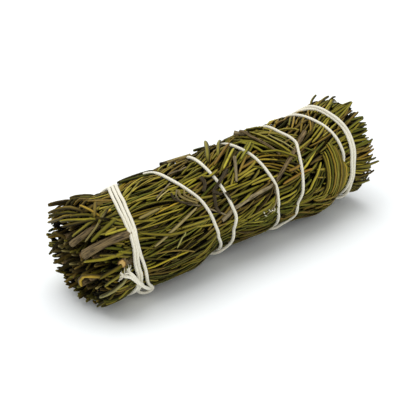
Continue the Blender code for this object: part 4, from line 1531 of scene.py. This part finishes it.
@dataclass
class PressedMass:
    """Inner needles pressed together, hollow at both ends, as one body dark with painted shade."""

    axis: BundleAxis
    radius: float = 12.2
    butt_x: float = -45.5
    tip_x: float = 49.0
    hollow: float = 4.0
    corners: int = 64
    stations: int = 72

    def surface(self, rng: np.random.Generator) -> Surface:
        """Turn a profile about the axis and roughen it.

        The profile runs out along each end's hollow and along the side; every ring's radius is
        roughened by a few waves round the axis and along it.
        """
        share = np.linspace(0.0, 1.0, 9)[1:]
        end_radius = self.radius * share
        butt = self.butt_x + self.hollow * (1.0 - share ** 2)
        tip = self.tip_x - self.hollow * (1.0 - share ** 2)
        side = np.linspace(self.butt_x, self.tip_x, self.stations)[1:-1]
        x = np.concatenate((butt, side, tip[::-1]))
        radius = np.concatenate((end_radius, np.full(len(side), self.radius), end_radius[::-1]))
        turn = FULL_TURN * np.arange(self.corners) / self.corners
        waves = np.zeros((len(x), self.corners))
        for _ in range(6):
            round_waves, long_waves = rng.integers(3, 13), rng.uniform(0.1, 0.7)
            start = rng.uniform(0.0, 2.0 * np.pi)
            waves += np.sin(np.radians(turn) * round_waves + long_waves * x[:, None] + start)
        rough = radius[:, None] * (1.0 + 0.012 * waves)
        rings = self.axis.place(turn[None], x[:, None] + 0.0 * rough, rough)[None]
        lengths = np.concatenate(([0.0], np.cumsum(np.hypot(np.diff(x), np.diff(radius)))))[None]
        leaf = np.zeros((1, len(x), self.corners, 3))
        # Painted shade: near black, as the deep inside lies in shade.
        tint = np.tile(linear("#1c170d"), (1, len(x), 1))
        return loft(rings, tint, leaf, lengths, slot=1, cap_slot=1)


@dataclass(frozen=True)
class StemShape:
    """How one sprig's stem comes out at the butt, and how thick it is.

    The places are (x, turn angle, distance from the axis), from the cut end inwards. Fresh is how
    freshly cut its end looks, from 0 to 1.
    """

    number: int
    places: tuple
    radius: float
    fresh: float = 0.0


# Stems whose cut ends show
SHOWN_STEMS = tuple(StemShape(*row) for row in (
    (1, ((-56.2, 70, 3.2),), 1.2),
    (2, ((-59.4, 20, 6.6), (-58.6, 26, 8.8), (-57.1, 29, 11.6), (-55.4, 31, 14.4), (-53.4, 33, 15.9),
     (-47, 31, 14.8)), 0.9),
    (3, ((-55.4, 76, 8.2),), 0.9), (4, ((-55.8, 132, 8),), 0.9), (5, ((-57, 160, 8.6),), 0.9),
    (6, ((-56.4, 236, 9),), 1.1), (7, ((-56.6, 312, 6.5),), 1), (9, ((-53, 24, 12.4),), 0.85),
    (10, ((-59, 59, 9.2), (-57.7, 56, 11.9), (-55.2, 53, 15.4), (-51.8, 52, 16.4), (-46.9, 51, 15.5),
     (-40, 52, 14)), 1.3),
    (11, ((-51.9, 79, 17.2), (-50, 80, 15.2), (-46, 82, 13.4)), 1.3, 1),
    (12, ((-53.6, 112, 12.4),), 0.85), (17, ((-54.6, 262, 12.2),), 0.95),
))

# Where the coat is kept low for what shows on it: the corners, how far and how much
KEPT_LOW = (
    (((-57, 57), (-46, 51)), 1.7, 2.4), (((-57, 30), (-54, 33)), 1.4, 1.8),
    (((-53.5, 79), (-51, 79.5)), 1.9, 2.6), (((-59, 40), (-52, 29)), 1, 0.8),
    (((-56, -33), (-44, -34)), 4, 0.7),
)
FAN_LOW = ((((34.5, 58), (34, 90)), 2.2, 1.3), (((39.5, 56), (38.5, 100)), 3.2, 1.3))


@dataclass
class Stems:
    """The woody stems of the sprigs, with split bark and a cut face at the butt."""

    axis: BundleAxis
    rng: np.random.Generator
    end_x: float = 28.0
    stations: int = 54
    corners: int = 20
    bark_relief: float = 0.11
    core_circle: float = 0.0
    middle_circle: float = 7.9
    outer_circle: float = 12.9

    def home(self, number: int) -> tuple[float, float, float]:
        """Give a sprig's turn angle, the circle that its stem lies on, and the stem's radius."""
        if number == 1:
            return 0.0, self.core_circle, 1.35
        if number < 8:
            return 60.0 * (number - 2), self.middle_circle, 1.2
        return 30.0 * (number - 8), self.outer_circle, 0.95

    def surface(self, line: Array, radii: Array, relief: float) -> Surface:
        """Carry a rough ring along a line.

        The ring's radius is the stem's, times one plus a sum of sines round it whose phase drifts
        along the stem, which makes long strips of bark, and swells at its knots.
        """
        tangents, reached = along_lines(line[None])
        up = squared(np.broadcast_to((0.0, 0.0, 1.0), line.shape) + 0.02, tangents[0])
        across = np.cross(tangents[0], up)
        phi = 2.0 * np.pi * np.arange(self.corners) / self.corners
        distance = reached[0][:, None] / MM
        rough = np.zeros((len(line), self.corners))
        for waves in (3, 5, 7, 9):
            drift = self.rng.uniform(-0.25, 0.25)
            start = self.rng.uniform(0.0, 2.0 * np.pi)
            rough += np.sin(waves * phi + drift * distance + start) / 2.0
        from_knot = (distance + self.rng.uniform(0.0, 6.0)) % 11.0 - 5.5
        knots = 1.0 + 0.09 * np.exp(-(from_knot / 0.9) ** 2)
        size = radii[:, None] * MM * knots * (1.0 + relief * rough)
        ring = ringed(line, size, up, across)
        leaf = np.ones((1, len(line), self.corners, 3))
        tint = np.tile(linear("#6e5a48"), (1, len(line), 1))
        return loft(ring[None], tint, leaf, reached / MM, cap_slot=1)

    def faced(self, stem: Surface, fresh: float = 0.0, hollow: float = 0.0) -> Surface:
        """Give the cut faces an inner ring each, so that the pith differs from the rim.

        Args:
            stem: the stem with plain cut faces, the first of which is at its start.
            fresh: how freshly cut they look, from 0 to 1.
            hollow: how deep the stem is hollowed out at its start, in millimetres.

        Returns:
            The stem with the new faces.
        """
        count = len(stem.points)
        middles = stem.points[stem.caps].mean(axis=1)
        wall = 0.8 if hollow else 0.55
        inner = wall * stem.points[stem.caps] + (1.0 - wall) * middles[:, None]
        inward = middles[-1] - middles[0]
        inner[0] += inward / np.linalg.norm(inward) * hollow * MM
        inner = inner.reshape(-1, 3)
        rim = stem.caps
        number = count + np.arange(len(inner)).reshape(rim.shape)
        quads = np.stack((rim, np.roll(rim, -1, axis=1), np.roll(number, -1, axis=1), number), axis=-1)
        quads = quads.reshape(-1, 4)
        zero = np.zeros((len(quads), 4, 2))
        return Surface(
            points=np.vstack((stem.points, inner)),
            quads=np.vstack((stem.quads, quads)),
            caps=number,
            tint=np.vstack((stem.tint, np.tile(stem.tint[:1], (len(inner), 1)))),
            leaf=np.vstack((stem.leaf, np.tile((0.25, fresh, 0.0), (len(inner), 1)))),
            quad_uv=np.concatenate((stem.quad_uv, zero)),
            cap_uv=stem.cap_uv,
            quad_slot=np.concatenate((stem.quad_slot, np.ones(len(quads), int))),
            cap_slot=stem.cap_slot,
        )

    def build(self, bark: Material, wood: Material) -> None:
        """Make every sprig's stem, from its cut end to where it fades out among the needles."""
        shown = {stem.number: stem for stem in SHOWN_STEMS}
        for number in range(1, 20):
            angle, circle, radius = self.home(number)
            places = [(BUTT_X - 0.4 + self.rng.uniform(-1.3, 1.3), angle, circle)]
            fresh = 0.0
            if number in shown:
                shape = shown[number]
                places, radius, fresh = list(shape.places), shape.radius, shape.fresh
            places += [(x, angle, circle) for x in (-30.0, -10.0, 10.0, self.end_x)]
            keys = np.array(places)
            line = self.axis.place(keys[:, 1], keys[:, 0], keys[:, 2])
            line = smooth_line(line, self.stations, 4)
            share = np.linspace(0.0, 1.0, self.stations)
            radii = radius * (1.0 - 0.45 * share)
            stem = self.faced(self.surface(line, radii, self.bark_relief), fresh)
            name = f"sprig_{number:02d}"
            make_piece(name + "_woody_stem", [stem], [bark, wood], (name + "_stem",))


@dataclass(frozen=True)
class TwigShape:
    """A bare twig caught on the outside: its places as (x, turn angle), radius and end lifts.

    The heights are its places' distances from the axis, for one that stands clear of the coat, and
    hollow is how deep its first end is hollowed out.
    """

    name: str
    bark: Bark
    places: tuple
    radius: float
    lifts: tuple[float, float] = (0.0, 0.0)
    replaced: tuple[str, ...] = ()
    pressed: bool = False
    heights: tuple[float, ...] = ()
    hollow: float = 0.0


TWIGS = (
    TwigShape("loose_bark_twig_1", Bark.WOODY, ((32.8, 20), (29.1, 27), (24.7, 35), (19.4, 44),
              (14.7, 53), (11.7, 61)), 0.72, replaced=("loose_twig_1",), pressed=True),
    TwigShape("loose_bark_twig_2", Bark.GREY, ((-12.5, 76), (-4.3, 68), (0.1, 65), (4.7, 63),
              (9.1, 62), (12, 61)), 0.62, replaced=("loose_twig_2",), pressed=True),
    TwigShape("curled_twig", Bark.GREY, ((-23.2, 27), (-25, 32), (-24.9, 39), (-22.7, 46),
              (-17.2, 54), (-14.5, 62), (-9.8, 74)), 0.3, pressed=True),
    TwigShape("curled_bract_1", Bark.STRAW, ((-23.6, 30), (-24.2, 36), (-22.4, 43), (-19.6, 49)),
              0.36, (0.3, 0)),
    TwigShape("curled_bract_2", Bark.STRAW, ((-21.6, 31), (-22.6, 36), (-21, 42), (-19, 48)),
              0.3, (0.6, 0)),
    TwigShape("curled_bract_3", Bark.DARK, ((-26.2, 29), (-26.6, 36), (-25, 42), (-21.5, 48)), 0.32),
    TwigShape("upright_twig", Bark.GREY, ((2.2, 18), (-0.3, 30), (-3, 44)), 0.48),
    TwigShape("dark_twig_1", Bark.DARK, ((-13.5, 25), (-13.6, 33), (-15.6, 40)), 0.6),
    TwigShape("dark_twig_2", Bark.DARK, ((-3.4, 28), (-7.9, 36), (-12.2, 44), (-13.4, 52),
              (-13.8, 60), (-13.2, 67)), 0.55),
    TwigShape("dark_twig_3", Bark.DARK, ((-13.4, 45), (-10, 50)), 0.4),
    TwigShape("dark_scrap", Bark.DARK, ((-8.2, 50), (-7.8, 54), (-7.3, 58.5)), 0.36),
    TwigShape("hollow_twig", Bark.STRAW, ((-15.6, -33), (-9.9, -33), (-4.8, -27)),
              0.78, heights=(17.3, 17.1, 16.8), hollow=2),
    TwigShape("thick_stub", Bark.GREY, ((12.6, -19), (15.6, -9)), 0.68, (0.7, 0)),
    TwigShape("stub_twig", Bark.WOODY, ((13.8, -14), (15, 12), (17.4, 35)), 0.42),
    TwigShape("thin_petiole_1", Bark.GREY, ((-31.7, 28), (-23.8, 17)), 0.22),
    TwigShape("thin_petiole_2", Bark.GREY, ((-21.5, 3), (-13.8, 3)), 0.24),
    TwigShape("flower_stalk", Bark.GREY, ((11.1, 62), (10.7, 73), (9.8, 82), (8.2, 87), (6, 90)), 0.22),
)


@dataclass
class LooseTwigs:
    """Bare twigs and leaf stalks lying on the coat."""

    axis: BundleAxis
    coat: CoatMap
    stems: Stems

    def build(self, barks: dict, wood: Material, pressed: bool) -> int:
        """Lay twigs on the coat, each along a smooth line through its places.

        Args:
            barks: the finish of each kind of bark.
            wood: the finish of their ends.
            pressed: whether to lay those under the string or those over it.

        Returns:
            How many twigs were laid.
        """
        chosen = [twig for twig in TWIGS if twig.pressed == pressed]
        for twig in chosen:
            count = 12 * len(twig.places)
            x, arc = smooth_line(self.coat.unrolled(twig.places), count).T
            radius = self.coat.lay(arc, x, twig.radius, 2.0 * twig.radius, 0.9, twig.pressed)
            share = np.linspace(0.0, 1.0, count)
            if twig.heights:
                radius = np.interp(share, np.linspace(0.0, 1.0, len(twig.heights)), twig.heights)
            line = self.axis.place(self.coat.angle(arc), x, lifted(radius, twig.lifts))
            radii = twig.radius * (1.05 - 0.2 * share)
            stem = self.stems.faced(self.stems.surface(line, radii, 0.08), hollow=twig.hollow)
            # Cut ends take the dark bark, but for pressed woody twigs; inside the hollow twig's hollow
            # it is painted shade.
            end = wood if twig.pressed and twig.bark is Bark.WOODY else barks[Bark.DARK]
            make_piece(twig.name, [stem], [barks[twig.bark], end], twig.replaced)
        return len(chosen)


@dataclass
class Studio:
    """The pale floor, the soft light from above and the camera.

    The light comes from a patch of sky, light_spread degrees across, in the direction light_way.
    """

    target: tuple[float, float, float] = (-4.57, 0.25, 16.3)
    azimuth: float = -41.0
    elevation: float = 28.5
    distance: float = 450.0
    lens: float = 120.7
    aim_right: float = -0.40
    aim_up: float = -1.26
    floor_radius: float = 1.6
    light_way: tuple[float, float, float] = (-0.07, 0.22, 1.0)
    light_spread: float = 56.0
    light_power: float = 1.7

    def build_floor(self) -> None:
        """Lay a round sheet of white paper under the bundle."""
        turn = 2.0 * np.pi * np.arange(96) / 96
        rim = np.column_stack((np.cos(turn), np.sin(turn), 0.0 * turn)) * self.floor_radius
        mesh = bpy.data.meshes.new("white_paper_floor")
        mesh.from_pydata(rim.tolist(), [], [list(range(len(rim)))])
        mesh.materials.append(PaperSweepFinish().build())
        floor = bpy.data.objects.new("white_paper_floor", mesh)
        bpy.context.scene.collection.objects.link(floor)

    def build_light(self) -> None:
        """Light the bundle from above and a little from behind, in a white room."""
        world = bpy.data.worlds.new("white_room")
        world.use_nodes = True
        tree = world.node_tree
        way = add_node(tree, "TexCoord").outputs["Generated"]
        height = add_node(tree, "SeparateXYZ", {0: way}).outputs["Z"]
        glow = add_node(tree, "MapRange", {"From Min": 0.12, "From Max": 0.4, "To Min": 1.0,
                                           "To Max": 0.74, "Value": height})
        background = tree.nodes["Background"]
        background.inputs["Color"].default_value = (1.0, 1.0, 1.0, 1.0)
        tree.links.new(glow.outputs["Result"], background.inputs["Strength"])
        bpy.context.scene.world = world
        bpy.context.scene.view_settings.view_transform = "Standard"
        lamp = bpy.data.lights.new("overhead_light", "SUN")
        lamp.angle = np.radians(self.light_spread)
        lamp.energy = self.light_power
        holder = bpy.data.objects.new("overhead_light", lamp)
        holder.location = self.light_way
        holder.rotation_mode = "QUATERNION"
        holder.rotation_quaternion = Vector(self.light_way).to_track_quat("Z", "Y")
        bpy.context.scene.collection.objects.link(holder)

    def build_camera(self) -> None:
        """Place the camera a little above the bundle, on the butt end's side."""
        turn, rise = np.radians(self.azimuth), np.radians(self.elevation)
        back = np.array((np.sin(turn) * np.cos(rise), -np.cos(turn) * np.cos(rise), np.sin(rise)))
        right = np.array((np.cos(turn), np.sin(turn), 0.0))
        up = np.cross(back, right)
        aim = np.array(self.target) + self.aim_right * right + self.aim_up * up
        data = bpy.data.cameras.new("camera")
        data.lens = self.lens
        data.sensor_width = 36.0
        data.clip_start = 0.01
        camera = bpy.data.objects.new("camera", data)
        camera.location = Vector((aim + self.distance * back) * MM)
        camera.rotation_mode = "QUATERNION"
        camera.rotation_quaternion = Vector(-back).to_track_quat("-Z", "Y")
        bpy.context.scene.collection.objects.link(camera)
        bpy.context.scene.camera = camera


def main() -> None:
    """Build the bundle's looks on the frame, piece by piece, and the studio round it."""
    logging.basicConfig(level=logging.INFO, format="%(message)s")
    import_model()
    low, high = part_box("sprig_01_stem")
    axis = BundleAxis(AXIS_X, 0.5 * (low.y + high.y) / MM, 0.5 * (low.z + high.z) / MM)
    rng = np.random.default_rng(SEED)

    studio = Studio()
    studio.build_camera()
    string = CottonString(axis)
    string.build(CottonTwineFinish().build(), rng)
    LOG.info("string: %d samples", len(string.route))

    coat = CoatMap(axis, string)
    needles = NeedleCoat(axis, coat, rng)
    needles.spread_tufts()
    free_cap = coat.cap.copy()
    for places, reach, drop in KEPT_LOW + FAN_LOW:
        coat.hold_down(places, reach, drop)
    needles.lay_coat()
    LOG.info("coat: %d tufts, %d needles", len(needles.tufts), len(needles.waiting))
    coat.cap = free_cap
    needles.lay_strays(FAN, capped=True)
    needles.make_room(BUTT_RODS)
    needles.finish_coat()
    barks = {bark: BarkFinish(bark).build() for bark in Bark}
    wood = CutWoodFinish().build()
    stems = Stems(axis, rng)
    twigs = LooseTwigs(axis, coat, stems)
    LOG.info("pressed twigs: %d", twigs.build(barks, wood, pressed=True))
    coat.add_string()
    LOG.info("twigs on top: %d", twigs.build(barks, wood, pressed=False))
    needles.lay_strays(STRAYS, capped=False)
    needles.place_rods(BUTT_RODS, 4.5, 6.5)
    needles.place_rods(STANDING, 1.5, 2.5)
    needles.fill_brush(-60.0, 17.0, 200, 5.0, 8.0, 1.25, 3.2,
                       (Tone.DUSK, Tone.BROWN, Tone.OLIVE, Tone.TAN, Tone.BROWN))
    needles.fill_brush(59.0, 14.0, 600, 2.0, 2.6, 1.0, 9.0,
                       (Tone.OLIVE, Tone.YELLOW_OLIVE, Tone.OLIVE, Tone.PALE, Tone.BROWN))
    mass = PressedMass(axis).surface(rng)
    finish = DriedNeedleFinish().build()
    LOG.info("needles: %d", needles.build(finish, mass, PressedNeedleFinish().build()))
    stems.build(barks[Bark.WOODY], wood)

    studio.build_floor()
    studio.build_light()


if __name__ == "__main__":
    main()
